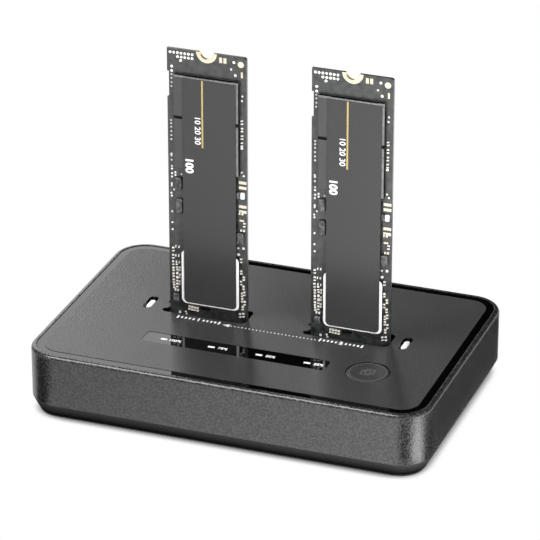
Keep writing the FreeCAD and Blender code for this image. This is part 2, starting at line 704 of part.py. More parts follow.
# Copy button: bevelled crown, and a skirt with a flange that keeps it in
def copyButton():
    body = newBody("copy_button")
    place(body, "copyX", "copyY", filmTop)
    flangeTop = "-(filmThick + glossThick + topWall + fitGap)"
    flangeFoot = flangeTop + " - flangeThick"
    outline = [("0", "0"), ("copyRadius - capBevelWidth", "0"), ("copyRadius", "-capBevelDeep"),
               ("copyRadius", flangeTop), ("copyRadius + flangeReach", flangeTop),
               ("copyRadius + flangeReach", flangeFoot), ("copyRadius - capWall", flangeFoot),
               ("copyRadius - capWall", "-capThick"), ("0", "-capThick")]
    turned(body, outline, plane="XZ_Plane")
    return keep(body)


# Its switch: the tall plunger reaches up to the crown
def copySwitch():
    body = newBody("copy_switch_body")
    place(body, "copyX", "copyY", "boardTop")
    pad(body, rectangle(body, "switchSide", "switchSide"), "switchHeight")
    pocket(body, circle(body, "switchBore", z="switchHeight"), "3*copyTravel + fitGap")
    keep(body)
    plunger = newBody("copy_switch_plunger")
    place(plunger, "copyX", "copyY", "boardTop")
    foot = "(switchHeight - 2*copyTravel)"
    pad(plunger, circle(plunger, "plungerRadius", z=foot),
        "%s - capThick - boardTop - %s" % (filmTop, foot))
    keep(plunger)


# Main board with its screw holes and the notch that the DC inlet sits in
def mainBoard():
    body = newBody("main_board")
    outline = rectangle(body, boardLength, "%s + %s" % (boardFront, boardRear),
                        "0", "(%s - %s)/2" % (boardRear, boardFront), boardBottom)
    pad(body, outline, "boardThick")
    for bossX, bossY in boardScrews:
        hole = circle(body, "screwRadius + fitGap", bossX, bossY, "boardTop")
        pocket(body, hole, "boardThick")
    reach = "(inletLength - boardRearGap + inletMargin)"
    notch = rectangle(body, "inletWidth + 2*inletMargin", "2*" + reach, "powerInX", boardRear,
                      "boardTop")
    pocket(body, notch, "boardThick")
    return keep(body)


def screws(label, places, seat, headBelow, grip):
    """Pan-head screws driven upward, one solid at each place."""
    body = newBody(label)
    for screwX, screwY in places:
        head = circle(body, "screwHeadRadius", screwX, screwY, headBelow)
        pad(body, head, "%s - (%s)" % (seat, headBelow))
        shaft = circle(body, "screwRadius", screwX, screwY, seat)
        pad(body, shaft, grip)
    return keep(body)


def allScrews():
    seat = "footProud + screwHeadThick"
    screws("case_screws", caseCorners, seat, "footProud + fitGap",
           "coverHeight - screwHeadThick + screwGrip")
    screws("board_screws", boardScrews, boardBottom, "%s - screwHeadThick" % boardBottom,
           "boardThick + screwGrip")


def rubberFeet():
    body = newBody("rubber_feet")
    for sideX in ("-", ""):
        for sideY in ("-", ""):
            footX = sideX + "(caseLength/2 - footInset)"
            disc = circle(body, "footRadius", footX, sideY + "footY", "0")
            pad(body, disc, "footProud")
    return keep(body)


# M.2 socket: housing with a card slot and its key, and two rows of solder tails
def driveSocket(number, driveX):
    body = newBody("m2_socket_%d" % number)
    place(body, driveX, "driveY + cardThick/2", "boardTop")
    pad(body, rectangle(body, "socketLength", "socketDepth"), "socketHeight")
    slot = rectangle(body, "socketSlotLength", "socketSlotWidth", z="socketHeight")
    cut = pocket(body, slot, "socketSlotDeep")
    halfLength, halfWidth = value("socketSlotLength/2"), value("socketSlotWidth/2")

    def slotMouth(edge):
        bounds = edge.BoundBox
        inside = bounds.XMax < halfLength + 1e-4 and bounds.YMax < halfWidth + 1e-4
        return inside and bounds.XMin > -halfLength - 1e-4 and bounds.YMin > -halfWidth - 1e-4 \
            and flatAt(edge, value("socketHeight"))
    leadIn = body.newObject("PartDesign::Chamfer", "SlotLeadIn")
    leadIn.Base = (cut, edgesWhere(cut, slotMouth))
    bind(leadIn, "Size", "socketChamfer")
    key = rectangle(body, "keyWidth - 4*fitGap", "socketSlotWidth", "keyX", "0",
                    "socketHeight - socketSlotDeep")
    pad(body, key, "keyHeight - 4*fitGap")
    keep(body)
    tails = newBody("m2_contacts_%d" % number)
    place(tails, driveX, "driveY + cardThick/2", "boardTop")
    first = "-(tailCount - 1)*tailPitch/2"
    for side in ("-", ""):
        beside = "%s(socketDepth + tailReach)/2" % side
        tail = rectangle(tails, "tailWidth", "tailReach", first, beside)
        row(tails, pad(tails, tail, "tailThick"), "X_Axis", "tailPitch", "tailCount")
    keep(tails)


# USB-C receptacle: drawn shell closed at the back, and the tongue in its mouth
def usbReceptacle():
    shell = newBody("usb_c_shell")
    mouth = "(caseDepth/2 - usbSunk)"
    place(shell, "usbX", mouth, usbZ)
    outer = stadium(shell, "usbWidth", "usbHeight", False, plane="XZ_Plane")
    pad(shell, outer, "usbLength", back=False)
    inner = stadium(shell, "usbWidth - 2*usbSheet", "usbHeight - 2*usbSheet", False,
                    plane="XZ_Plane")
    pocket(shell, inner, "usbMouth", back=True)
    keep(shell)
    tongue = newBody("usb_c_tongue")
    place(tongue, "usbX", mouth, usbZ)
    blade = rectangle(tongue, "tongueWidth", "tongueThick", y="-usbMouth + tongueLength",
                      plane="XZ_Plane")
    pad(tongue, blade, "tongueLength")
    keep(tongue)


# DC inlet: block with a round collar and bore, and its centre pin
def powerInlet():
    body = newBody("dc_inlet_body")
    place(body, "powerInX", "0", powerInZ)
    front = "(%s - fitGap)" % innerRear
    face = "(caseDepth/2 - inletSunk)"
    block = rectangle(body, "inletWidth", "inletHeight", y=front, plane="XZ_Plane")
    pad(body, block, "inletLength - fitGap")
    collar = circle(body, "inletCollar", y=face, plane="XZ_Plane")
    pad(body, collar, "%s - %s" % (face, front))
    bore = circle(body, "inletBore", y=face, plane="XZ_Plane")
    pocket(body, bore, "inletDeep", back=True)
    keep(body)
    pin = newBody("dc_inlet_pin")
    place(pin, "powerInX", "0", powerInZ)
    tip = "(%s - inletDeep + inletPinLength)" % face
    pad(pin, circle(pin, "inletPin", y=tip, plane="XZ_Plane"), "inletPinLength")
    keep(pin)


# Power button through the rear wall, and the push switch behind it
def powerButton():
    body = newBody("power_button")
    place(body, "powerX", "caseDepth/2 - powerSunk", powerZ)
    flangeFront = "-(caseWall - powerSunk + fitGap)"
    outline = [("0", "0"), ("powerRadius", "0"), ("powerRadius", flangeFront),
               ("powerRadius + powerFlange", flangeFront),
               ("powerRadius + powerFlange", "-powerCapDeep"), ("0", "-powerCapDeep")]
    turned(body, outline)
    keep(body)
    housing = newBody("power_switch_body")
    place(housing, "powerX", pushFront, "boardTop")
    block = rectangle(housing, "pushSide", "pushHeight", z="pushHeight/2", plane="XZ_Plane")
    pad(housing, block, "pushDepth")
    hole = rectangle(housing, "2*pushBore", "2*pushBore", z="powerRaise", plane="XZ_Plane")
    pocket(housing, hole, "pushHidden + powerTravel + fitGap", back=True)
    keep(housing)
    plunger = newBody("power_switch_plunger")
    place(plunger, "powerX", pushFront, "boardTop")
    rod = rectangle(plunger, "2*pushPlunger", "2*pushPlunger", y="pushProud", z="powerRaise",
                    plane="XZ_Plane")
    pad(plunger, rod, "pushProud + pushHidden")
    keep(plunger)


# Chips, inductors, capacitors and crystal on the main board
def boardParts():
    bridges = newBody("bridge_chips")
    first = rectangle(bridges, "bridgeSide", "bridgeSide", "bridgeFirstX", "bridgeY",
                      "boardTop")
    row(bridges, pad(bridges, first, "bridgeThick"), "X_Axis", "bridgePitch", "2")
    keep(bridges)
    keep(box("control_chip", "controlSide", "controlSide", "bridgeThick",
             "controlX", "controlY", "boardTop"))
    coils = newBody("inductors")
    first = rectangle(coils, "coilSide", "coilSide", "coilFirstX", supplyY, "boardTop")
    row(coils, pad(coils, first, "coilHeight"), "X_Axis", "coilPitch", "2")
    keep(coils)
    cans = newBody("power_capacitors")
    first = circle(cans, "canRadius", "canFirstX", supplyY, "boardTop")
    row(cans, pad(cans, first, "canHeight"), "X_Axis", "canPitch", "2")
    keep(cans)
    keep(box("crystal", "crystalLength", "crystalWidth", "crystalHeight",
             "crystalX", "crystalY", "boardTop"))


# One M.2 drive. Its pieces stand in one frame: x from the middle of the card,
# y from its front face, z from its lower edge.
def onCard(body, driveX):
    place(body, driveX, "driveY", cardFoot)
    return body


def cardBoard(number, driveX):
    body = onCard(newBody("drive_%d_board" % number), driveX)
    upper = rectangle(body, "cardWidth", "cardLength - cardTabLength", y="cardThick",
                      z="(cardLength + cardTabLength)/2", plane="XZ_Plane")
    sheetPad = pad(body, upper, "cardThick")

    def upperRight(edge):
        bounds = edge.BoundBox
        return near(bounds.XMin, value("cardWidth/2")) and near(bounds.XMax, bounds.XMin) \
            and near(bounds.ZMin, value("cardLength")) and near(bounds.ZMax, bounds.ZMin)
    corner = body.newObject("PartDesign::Fillet", "CardCorner")
    corner.Base = (sheetPad, edgesWhere(sheetPad, upperRight))
    bind(corner, "Radius", "cardCorner")
    tab = rectangle(body, "cardTabWidth", "cardTabLength", y="cardThick",
                    z="cardTabLength/2", plane="XZ_Plane")
    pad(body, tab, "cardThick")
    key = rectangle(body, "keyWidth", "2*keyHeight", "keyX", "0", "0", plane="XZ_Plane")
    pocket(body, key, "cardThick")
    hole = circle(body, "holeRadius + barrelThick", z="cardLength", plane="XZ_Plane")
    pocket(body, hole, "cardThick")
    notch = rectangle(body, "2*sideNotchDeep", "sideNotchLength", "-cardWidth/2", "0",
                      "cardLength - sideNotchTop - sideNotchLength/2", plane="XZ_Plane")
    pocket(body, notch, "cardThick")
    keep(body)


def cardGold(number, driveX):
    # Half ring on both faces, joined by the plated barrel in the half hole
    ring = onCard(newBody("drive_%d_hole_pad" % number), driveX)
    outline = [("holeRadius", "-goldThick"), ("padRadius", "-goldThick"), ("padRadius", "0"),
               ("holeRadius + barrelThick", "0"), ("holeRadius + barrelThick", "cardThick"),
               ("padRadius", "cardThick"), ("padRadius", "cardThick + goldThick"),
               ("holeRadius", "cardThick + goldThick")]
    turned(ring, outline, "180", z="cardLength")
    keep(ring)
    # Edge fingers on both faces, either side of the key
    fingers = onCard(newBody("drive_%d_contacts" % number), driveX)
    keyGap = "(keyWidth/2 + fingerPitch/2)"
    middle = "fingerLift + fingerLength/2"
    for depth in ("0", "cardThick + goldThick"):
        for first, count in (("keyX - %s - (fingersLeft - 1)*fingerPitch" % keyGap, "fingersLeft"),
                             ("keyX + %s" % keyGap, "fingersRight")):
            finger = rectangle(fingers, "fingerWidth", "fingerLength", first, depth, middle,
                               plane="XZ_Plane")
            row(fingers, pad(fingers, finger, "goldThick"), "X_Axis", "fingerPitch", count)
    keep(fingers)
    # Test and component pads that show bright on the front face
    pads = onCard(newBody("drive_%d_pads" % number), driveX)
    group = "(bigPadCount - 1)*bigPadPitch"
    for foot in ("cardLength - bigPadTop - " + group,
                 "cardLength - bigPadTop - 2*%s - bigPadGroup" % group):
        big = rectangle(pads, "bigPadWidth", "bigPadLength", "rightColumnX", "0", foot,
                        plane="XZ_Plane")
        row(pads, pad(pads, big, "goldThick"), "Z_Axis", "bigPadPitch", "bigPadCount")
    top = rectangle(pads, "topPadWidth", "topPadLength", "topPadX", "0",
                    "cardLength - topPadDrop", plane="XZ_Plane")
    row(pads, pad(pads, top, "goldThick"), "X_Axis", "topPadPitch", "2")
    dot = circle(pads, "roundPadRadius", "roundPadX", "0", "cardLength - roundPadDrop",
                 plane="XZ_Plane")
    pad(pads, dot, "goldThick")
    keep(pads)


def cardChips(number, driveX):
    def chip(name, width, length, foot):
        label = "drive_%d_%s" % (number, name)
        keep(box(label, width, "packageThick", length, driveX, "driveY - packageThick/2",
                 "%s + %s" % (cardFoot, foot)))
    chip("upper_flash", "packageWidth", "upperFlashLength",
         "cardLength - upperFlashTop - upperFlashLength")
    chip("lower_flash", "packageWidth", "lowerFlashLength", lowerFlashFoot)
    # The memory chip lies midway between the controller and the lower flash package
    chip("memory", "memoryWidth", "memoryLength",
         "(%s + %s - memoryLength)/2" % (controllerTop, lowerFlashFoot))
    controller = onCard(newBody("drive_%d_controller" % number), driveX)
    lid = roundedRectangle(controller, "controllerWidth", "controllerLength", "controllerCorner",
                           "controllerX", "0", "controllerFoot + controllerLength/2",
                           plane="XZ_Plane")
    pad(controller, lid, "packageThick")
    keep(controller)
    # The label lies across the tops of all the chips
    label = onCard(newBody("drive_%d_label" % number), driveX)
    lower = "(controllerFoot + labelRim)"
    upper = "(cardLength - upperFlashTop)"
    sheet1 = roundedRectangle(label, "labelWidth", "%s - %s" % (upper, lower), "labelCorner",
                              "controllerX", "-packageThick", "(%s + %s)/2" % (upper, lower),
                              plane="XZ_Plane")
    pad(label, sheet1, "labelThick")
    keep(label)


def cardCapacitors(number, driveX):
    body = onCard(newBody("drive_%d_capacitors" % number), driveX)
    columns = [("leftColumnX", "leftColumnFoot", "leftColumnPitch", "leftColumnCount"),
               ("rightColumnX", "rightColumnFoot", "rightColumnPitch", "rightColumnCount")]
    for column, foot, pitch, count in columns:
        first = rectangle(body, "capacitorWidth", "capacitorLength", column, "0", foot,
                          plane="XZ_Plane")
        row(body, pad(body, first, "capacitorThick"), "Z_Axis", pitch, count)
    keep(body)


upperCase()
bottomCover()
glossPanel()
panelOverlay()
progressLightGuide()
statusLightPipes()
leds()
copyButton()
copySwitch()
mainBoard()
allScrews()
rubberFeet()
usbReceptacle()
powerInlet()
powerButton()
boardParts()
for number, driveX in enumerate(driveXs, start=1):
    driveSocket(number, driveX)
    cardBoard(number, driveX)
    cardGold(number, driveX)
    cardChips(number, driveX)
    cardCapacitors(number, driveX)

doc.recompute()

# Every object has to be whole, and every feature has to change its body
for thing in doc.Objects:
    if "Invalid" in thing.State or "Error" in thing.State:
        raise RuntimeError("%s failed: %s" % (thing.Label, thing.State))
    if thing.isDerivedFrom("PartDesign::Feature") and thing.BaseFeature is not None:
        change = abs(thing.Shape.Volume - thing.BaseFeature.Shape.Volume)
        if change < 1e-6:
            raise RuntimeError("%s changes nothing" % thing.Name)
for part in parts:
    if part.Shape.isNull() or not part.Shape.isValid() or part.Shape.Volume <= 0:
        raise RuntimeError("%s has no valid shape" % part.Label)

os.makedirs("parts", exist_ok=True)
for part in parts:
    part.Shape.exportStep("parts/%s.step" % part.Label)
print("%d sub-parts written" % len(parts))
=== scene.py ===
import json
import math
import bmesh
import bpy
from mathutils import Matrix, Vector


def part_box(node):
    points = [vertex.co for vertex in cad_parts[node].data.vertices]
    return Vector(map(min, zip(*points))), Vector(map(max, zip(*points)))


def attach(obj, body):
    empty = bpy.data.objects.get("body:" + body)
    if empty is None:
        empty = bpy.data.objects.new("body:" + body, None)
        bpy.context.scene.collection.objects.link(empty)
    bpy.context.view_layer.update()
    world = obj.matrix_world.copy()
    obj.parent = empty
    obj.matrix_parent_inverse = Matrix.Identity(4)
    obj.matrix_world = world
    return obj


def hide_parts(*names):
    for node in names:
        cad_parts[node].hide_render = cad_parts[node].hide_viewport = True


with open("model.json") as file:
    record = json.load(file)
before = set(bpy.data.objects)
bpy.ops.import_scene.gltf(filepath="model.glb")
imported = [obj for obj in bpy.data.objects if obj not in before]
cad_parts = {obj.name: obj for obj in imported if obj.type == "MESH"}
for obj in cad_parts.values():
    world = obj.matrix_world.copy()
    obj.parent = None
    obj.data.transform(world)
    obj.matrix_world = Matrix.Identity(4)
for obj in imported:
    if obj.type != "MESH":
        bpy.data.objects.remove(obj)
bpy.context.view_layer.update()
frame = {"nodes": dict(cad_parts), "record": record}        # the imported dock, its buttons and its two drives
nodes = frame["nodes"]
mm = 0.001
print("frame loaded:", len(nodes), "nodes")


def linear(code):        # sRGB hex to the linear colour that the shader wants
    parts = [int(code[i:i + 2], 16)/255 for i in (1, 3, 5)]
    return [p/12.92 if p <= 0.04045 else ((p + 0.055)/1.055)**2.4 for p in parts] + [1]


def addNode(tree, kind, settings=None, inputs=None):
    node = tree.nodes.new(kind)
    for name, value in (settings or {}).items():
        setattr(node, name, value)
    for name, value in (inputs or {}).items():
        if isinstance(value, bpy.types.NodeSocket):
            tree.links.new(value, node.inputs[name])
        else:
            node.inputs[name].default_value = value
    return node


# Camera: a long lens from the right front, looking down on the panel. Angles are in radians.
cameraSizes = {
    "lens": 236.03, "sensor": 36, "near": 0.05, "far": 20,
    "azimuth": 0.35164, "elevation": 0.44727,
    "distance": 942.865*mm, "across": 0.610*mm, "up": 30.797*mm, "raise": 0.5*mm,
}


def makeCamera(s):
    turn, rise = s["azimuth"], s["elevation"]
    back = Vector((math.sin(turn)*math.cos(rise), -math.cos(turn)*math.cos(rise), math.sin(rise)))
    right = Vector((math.cos(turn), math.sin(turn), 0))
    up = back.cross(right)
    place = back*s["distance"] + right*s["across"] + up*s["up"] + Vector((0, 0, s["raise"]))
    data = bpy.data.cameras.new("camera")
    data.lens, data.sensor_width = s["lens"], s["sensor"]
    data.clip_start, data.clip_end = s["near"], s["far"]
    holder = bpy.data.objects.new("camera", data)
    bpy.context.collection.objects.link(holder)
    turned = Matrix((right, up, back)).transposed().to_4x4()
    holder.matrix_world = Matrix.Translation(place) @ turned
    bpy.context.scene.camera = holder


# Light: a big softbox behind on the left, which the panel mirrors, one overhead on the left, and
# a small near one in front on the right. Two reflectors show only in what the object mirrors:
# a large one above for the bright line along the rim, a low one beside the right front corner.
lamps = (
    {"name": "rear softbox", "place": (-1.50, 1.40, 1.00), "aim": (-1.50, 0, 1.00),
     "width": 1.86, "height": 1.80, "glow": 1.70, "diffuse": True, "glossy": True},
    {"name": "top softbox", "place": (-0.42, -0.25, 1.20), "aim": (0, 0, 0),
     "width": 0.36, "height": 0.36, "glow": 18.0, "diffuse": True, "glossy": False},
    {"name": "key softbox", "place": (0.26, -0.18, 0.10), "aim": (0, 0, 0.02),
     "width": 0.12, "height": 0.12, "glow": 25.0, "diffuse": True, "glossy": False},
    {"name": "corner reflector", "place": (0.074, -0.038, 0.0004), "aim": (0.074, -0.038, 1.0),
     "width": 0.026, "height": 0.012, "glow": 2.6, "diffuse": False, "glossy": True},
    {"name": "rim reflector", "place": (-0.40, -0.48, 1.00), "aim": (0, 0, 0.02),
     "width": 0.75, "height": 0.75, "glow": 5.6, "diffuse": False, "glossy": True},
)


def makeLamp(s):
    lamp = bpy.data.lights.new(s["name"], "AREA")
    lamp.shape, lamp.size, lamp.size_y = "RECTANGLE", s["width"], s["height"]
    # 4 W for each square metre and unit of glow: then the box itself shines at that level
    lamp.energy = 4*s["glow"]*s["width"]*s["height"]
    holder = bpy.data.objects.new(s["name"], lamp)
    bpy.context.collection.objects.link(holder)
    holder.location = s["place"]
    holder.rotation_mode = "QUATERNION"
    holder.rotation_quaternion = (Vector(s["aim"]) - Vector(s["place"])).to_track_quat("-Z", "Z")
    holder.visible_camera = False
    holder.visible_diffuse, holder.visible_glossy = s["diffuse"], s["glossy"]


# Room: pale, with a dark wall behind that blackens the panel's reflection, and white to the camera
roomSizes = {
    "glow": 0.35, "darkMiddle": (0.0, 0.90, 0.43), "darkInside": 0.86, "darkOutside": 0.25,
}


def makeRoom(s):
    world = bpy.data.worlds.new("studio")
    bpy.context.scene.world = world
    world.use_nodes = True
    tree = world.node_tree
    tree.nodes.clear()
    ray = addNode(tree, "ShaderNodeTexCoord").outputs["Generated"]
    wall = Vector(s["darkMiddle"]).normalized()
    facing = addNode(tree, "ShaderNodeVectorMath", {"operation": "DOT_PRODUCT"},
                     {0: ray, 1: wall}).outputs["Value"]
    level = addNode(tree, "ShaderNodeMapRange", {"interpolation_type": "SMOOTHSTEP"},
                    {"Value": facing, "From Min": s["darkInside"], "From Max": s["darkOutside"],
                     "To Max": s["glow"]}).outputs["Result"]
    room = addNode(tree, "ShaderNodeBackground", None, {"Strength": level})
    white = addNode(tree, "ShaderNodeBackground", None, {"Color": (1, 1, 1, 1)})
    path = addNode(tree, "ShaderNodeLightPath")
    both = addNode(tree, "ShaderNodeMixShader", None,
                   {0: path.outputs["Is Camera Ray"], 1: room.outputs[0], 2: white.outputs[0]})
    addNode(tree, "ShaderNodeOutputWorld", None, {"Surface": both.outputs[0]})


# Floor: paper that glows white to the camera and in reflections, there painted brighter to the
# right, with a painted soft shadow where the case meets it, a little weaker at the right end
floorSizes = {
    "half": 4.0, "sideFrom": 0.045, "sideTo": 0.058, "sideShare": 0.05,
    "shadowReach": 5.5*mm, "shadowDark": 0.24, "shadowClear": 0.56, "shadowSamples": 16,
    "leanFrom": -0.055, "leanTo": 0.055, "leanShare": 0.75,
}


def makeFloor(s):
    mesh = bpy.data.meshes.new("floor")
    h = s["half"]
    mesh.from_pydata([(-h, -h, 0), (h, -h, 0), (h, h, 0), (-h, h, 0)], [], [(0, 1, 2, 3)])
    floor = bpy.data.objects.new("floor", mesh)
    bpy.context.collection.objects.link(floor)
    material = bpy.data.materials.new("white paper sweep")
    material.use_nodes = True
    tree = material.node_tree
    tree.nodes.clear()
    path = addNode(tree, "ShaderNodeLightPath").outputs
    seen = path["Is Camera Ray"]
    for kind in ("Is Glossy Ray", "Is Transmission Ray"):
        seen = addNode(tree, "ShaderNodeMath", {"operation": "ADD", "use_clamp": True},
                       {0: seen, 1: path[kind]}).outputs[0]
    # Painted shadow: close to the object the glow gives way to a darker copy of the paper
    free = addNode(tree, "ShaderNodeAmbientOcclusion", {"samples": s["shadowSamples"]},
                   {"Distance": s["shadowReach"]}).outputs["AO"]
    place = addNode(tree, "ShaderNodeTexCoord").outputs["Object"]
    across = addNode(tree, "ShaderNodeSeparateXYZ", None, {0: place}).outputs["X"]
    side = addNode(tree, "ShaderNodeMapRange", None,
                   {"Value": across, "From Min": s["sideFrom"], "From Max": s["sideTo"],
                    "To Max": s["sideShare"]}).outputs["Result"]
    free = addNode(tree, "ShaderNodeMath", {"operation": "ADD"}, {0: free, 1: side}).outputs[0]
    clear = addNode(tree, "ShaderNodeMapRange", None,
                    {"Value": free, "From Min": s["shadowDark"],
                     "From Max": s["shadowClear"]}).outputs["Result"]
    paper = addNode(tree, "ShaderNodeBsdfDiffuse", None, {"Color": linear("#f4f4f4")})
    shaded = addNode(tree, "ShaderNodeBsdfDiffuse", None, {"Color": linear("#3a3a3a")})
    # Painted light: what the walls mirror of the paper glows brighter to the right
    lean = addNode(tree, "ShaderNodeMapRange", None,
                   {"Value": across, "From Min": s["leanFrom"], "From Max": s["leanTo"],
                    "To Max": s["leanShare"]}).outputs["Result"]
    level = addNode(tree, "ShaderNodeMath", {"operation": "MULTIPLY_ADD"},
                    {0: lean, 1: path["Is Glossy Ray"], 2: 1.0}).outputs[0]
    glow = addNode(tree, "ShaderNodeEmission", None, {"Color": (1, 1, 1, 1), "Strength": level})
    sweep = addNode(tree, "ShaderNodeMixShader", None,
                    {0: clear, 1: shaded.outputs[0], 2: glow.outputs[0]})
    both = addNode(tree, "ShaderNodeMixShader", None,
                   {0: seen, 1: paper.outputs[0], 2: sweep.outputs[0]})
    addNode(tree, "ShaderNodeOutputMaterial", None, {"Surface": both.outputs[0]})
    mesh.materials.append(material)


# Black cards on the paper beside the corners, seen only in reflections, darken the wall's edges
blackCards = {
    "height": 0.2*mm, "roughness": 0.9,
    "outlines": (
        ((0.0556, -0.031), (0.095, -0.020), (0.095, 0.120), (0.0556, 0.120)),
        ((0.051, -0.044), (0.057, -0.075), (0.088, -0.075), (0.082, -0.058), (0.058, -0.040)),
        ((-0.055, -0.0345), (-0.096, -0.0305), (-0.096, -0.070), (-0.070, -0.070),
         (-0.053, -0.044))),
}


def makeBlackCards(s):
    black = bpy.data.materials.new("black velvet card")
    black.use_nodes = True
    shader = black.node_tree.nodes["Principled BSDF"]
    shader.inputs["Base Color"].default_value = linear("#080808")
    shader.inputs["Roughness"].default_value = s["roughness"]
    for number, corners in enumerate(s["outlines"], start=1):
        sheet = bpy.data.meshes.new("card_%d" % number)
        sheet.from_pydata([(x, y, s["height"]) for x, y in corners], [], [range(len(corners))])
        sheet.materials.append(black)
        card = bpy.data.objects.new("card_%d" % number, sheet)
        bpy.context.collection.objects.link(card)
        card.visible_camera = card.visible_diffuse = card.visible_shadow = False


makeCamera(cameraSizes)
for lampSizes in lamps:
    makeLamp(lampSizes)
makeRoom(roomSizes)
makeFloor(floorSizes)
makeBlackCards(blackCards)
print("camera, lights and floor made")


# Finishes. Each starts as a plain shader and gets the patterns that its surface has. The edge's
# radius and the size and height of a pattern are in millimetres.
def newFinish(name, colour, roughness, sockets=None, edge=0.0):
    material = bpy.data.materials.new(name)
    material.use_nodes = True
    tree = material.node_tree
    shader = tree.nodes["Principled BSDF"]
    shader.inputs["Base Color"].default_value = linear(colour)
    shader.inputs["Roughness"].default_value = roughness
    for socket, value in (sockets or {}).items():
        shader.inputs[socket].default_value = value
    place = addNode(tree, "ShaderNodeTexCoord").outputs["Object"]
    made = {"material": material, "tree": tree, "shader": shader, "place": place, "normal": None}
    if edge:             # moulded and stamped edges are never quite sharp
        rounded = addNode(tree, "ShaderNodeBevel", {"samples": 4}, {"Radius": edge*mm})
        made["normal"] = rounded.outputs["Normal"]
        tree.links.new(made["normal"], shader.inputs["Normal"])
    return made


# Noise with lumps of this size, drawn out along an axis that is squeezed below 1
def grain(made, size, detail=2.0, squeeze=None):
    place = made["place"]
    if squeeze:
        place = addNode(made["tree"], "ShaderNodeMapping", None,
                        {"Vector": place, "Scale": squeeze}).outputs["Vector"]
    return addNode(made["tree"], "ShaderNodeTexNoise", None,
                   {"Vector": place, "Scale": 0.5/(size*mm), "Detail": detail}).outputs["Fac"]


def relief(made, pattern, height):
    bump = addNode(made["tree"], "ShaderNodeBump", None,
                   {"Strength": 1.0, "Distance": height*mm, "Height": pattern})
    if made["normal"]:
        made["tree"].links.new(made["normal"], bump.inputs["Normal"])
    made["normal"] = bump.outputs["Normal"]
    made["tree"].links.new(made["normal"], made["shader"].inputs["Normal"])


def tint(made, pattern, low, high, start=0.35, end=0.65):        # colour follows a pattern
    ramp = addNode(made["tree"], "ShaderNodeValToRGB", None, {"Fac": pattern})
    for element, position, colour in zip(ramp.color_ramp.elements, (start, end), (low, high)):
        element.position = position
        element.color = linear(colour)
    made["tree"].links.new(ramp.outputs["Color"], made["shader"].inputs["Base Color"])


def dull(made, pattern, low, high, start=0.3, end=0.7):        # roughness follows a pattern
    level = addNode(made["tree"], "ShaderNodeMapRange", None,
                    {"Value": pattern, "From Min": start, "From Max": end,
                     "To Min": low, "To Max": high})
    made["tree"].links.new(level.outputs["Result"], made["shader"].inputs["Roughness"])


# ABS moulded in a spark-eroded tool: a fine, even pebble that scatters the light
def sparkAbs():
    made = newFinish("spark-textured ABS", "#2c2c2c", 0.25,
                     {"IOR": 1.53, "Specular IOR Level": 0.72}, edge=0.15)
    pebble = grain(made, size=0.26, detail=1.0)
    tint(made, pebble, "#121212", "#343434")
    relief(made, pebble, height=0.085)
    return made["material"]


# The same ABS from a finer tool, with painted shade darkening it where the taper turns under
def coverAbs():
    shadeFullBelow, shadeGoneAbove, ragged = 1.4*mm, 4.8*mm, 1.2*mm        # heights, and their unevenness
    made = newFinish("fine-textured ABS with painted shade", "#141414", 0.8,
                     {"IOR": 1.53, "Specular IOR Level": 0.02}, edge=0.15)
    height = addNode(made["tree"], "ShaderNodeSeparateXYZ", None, {0: made["place"]}).outputs["Z"]
    pebble = grain(made, size=0.30)
    rough = addNode(made["tree"], "ShaderNodeMath", {"operation": "MULTIPLY_ADD"},
                    {0: pebble, 1: ragged, 2: height}).outputs[0]
    paintedLitShare = addNode(made["tree"], "ShaderNodeMapRange", None,
                    {"Value": rough, "From Min": shadeFullBelow, "From Max": shadeGoneAbove})
    # Painted shade: the colour runs from near black at the table up to the case's tone above the crease
    tint(made, paintedLitShare.outputs["Result"], "#020202", "#383838", start=0.0, end=1.0)
    relief(made, pebble, height=0.04)
    return made["material"]


# Acrylic with a polished face: black, and mirror-like with a trace of haze
def pianoAcrylic():
    made = newFinish("polished acrylic", "#060607", 0.04, {"IOR": 1.49}, edge=0.1)
    dull(made, grain(made, size=9, detail=1.0), 0.03, 0.06)
    return made["material"]


# Polyester film with a velvet hard coat: it blurs what the gloss beside it mirrors. The coat's
# grain is a few hundredths of a millimetre and is drawn coarser here, so that it shows.
def velvetFilm():
    made = newFinish("velvet hard-coat film", "#363636", 0.30, {"IOR": 1.55}, edge=0.06)
    speck = grain(made, size=0.22)
    tint(made, speck, "#292929", "#434343")
    relief(made, speck, height=0.06)
    return made["material"]


# Milky polycarbonate light guide: white, waxy and smooth, with a faint painted glow
def milkyGuide():
    # The emission is a painted glow: no lamp lights the guide
    made = newFinish("milky polycarbonate", "#f2f3f3", 0.22,
                     {"IOR": 1.58, "Emission Color": linear("#ffffff"),
                      "Emission Strength": 0.25}, edge=0.1)
    tint(made, grain(made, size=1.5), "#ececec", "#f8f8f8")
    return made["material"]


# ABS cap of the copy button under the same velvet coat as the film round it
def capAbs():
    made = newFinish("velvet-coated ABS", "#343434", 0.30, {"IOR": 1.53}, edge=0.08)
    speck = grain(made, size=0.22)
    tint(made, speck, "#2d2d2d", "#3f3f3f")
    relief(made, speck, height=0.06)
    return made["material"]


# Glass-filled nylon of sockets and switches: dull black with short fibres at the skin
def filledNylon():
    made = newFinish("glass-filled nylon", "#1a1a1b", 0.55, {"IOR": 1.53}, edge=0.08)
    fibre = grain(made, size=0.25, detail=4.0)
    tint(made, fibre, "#151516", "#222224")
    relief(made, fibre, height=0.01)
    return made["material"]


# Tin plating on solder tails: soft grey metal with a frosted bloom
def tinnedCopper():
    made = newFinish("tin plating", "#c9cacc", 0.35, {"Metallic": 1.0})
    dull(made, grain(made, size=0.2), 0.28, 0.45)
    return made["material"]


# Deep-drawn stainless steel: faint lines along the draw
def drawnSteel():
    made = newFinish("drawn stainless steel", "#b9babd", 0.28, {"Metallic": 1.0}, edge=0.06)
    lines = grain(made, size=0.08, squeeze=(1.0, 0.05, 1.0))
    dull(made, lines, 0.22, 0.38)
    relief(made, lines, height=0.002)
    return made["material"]


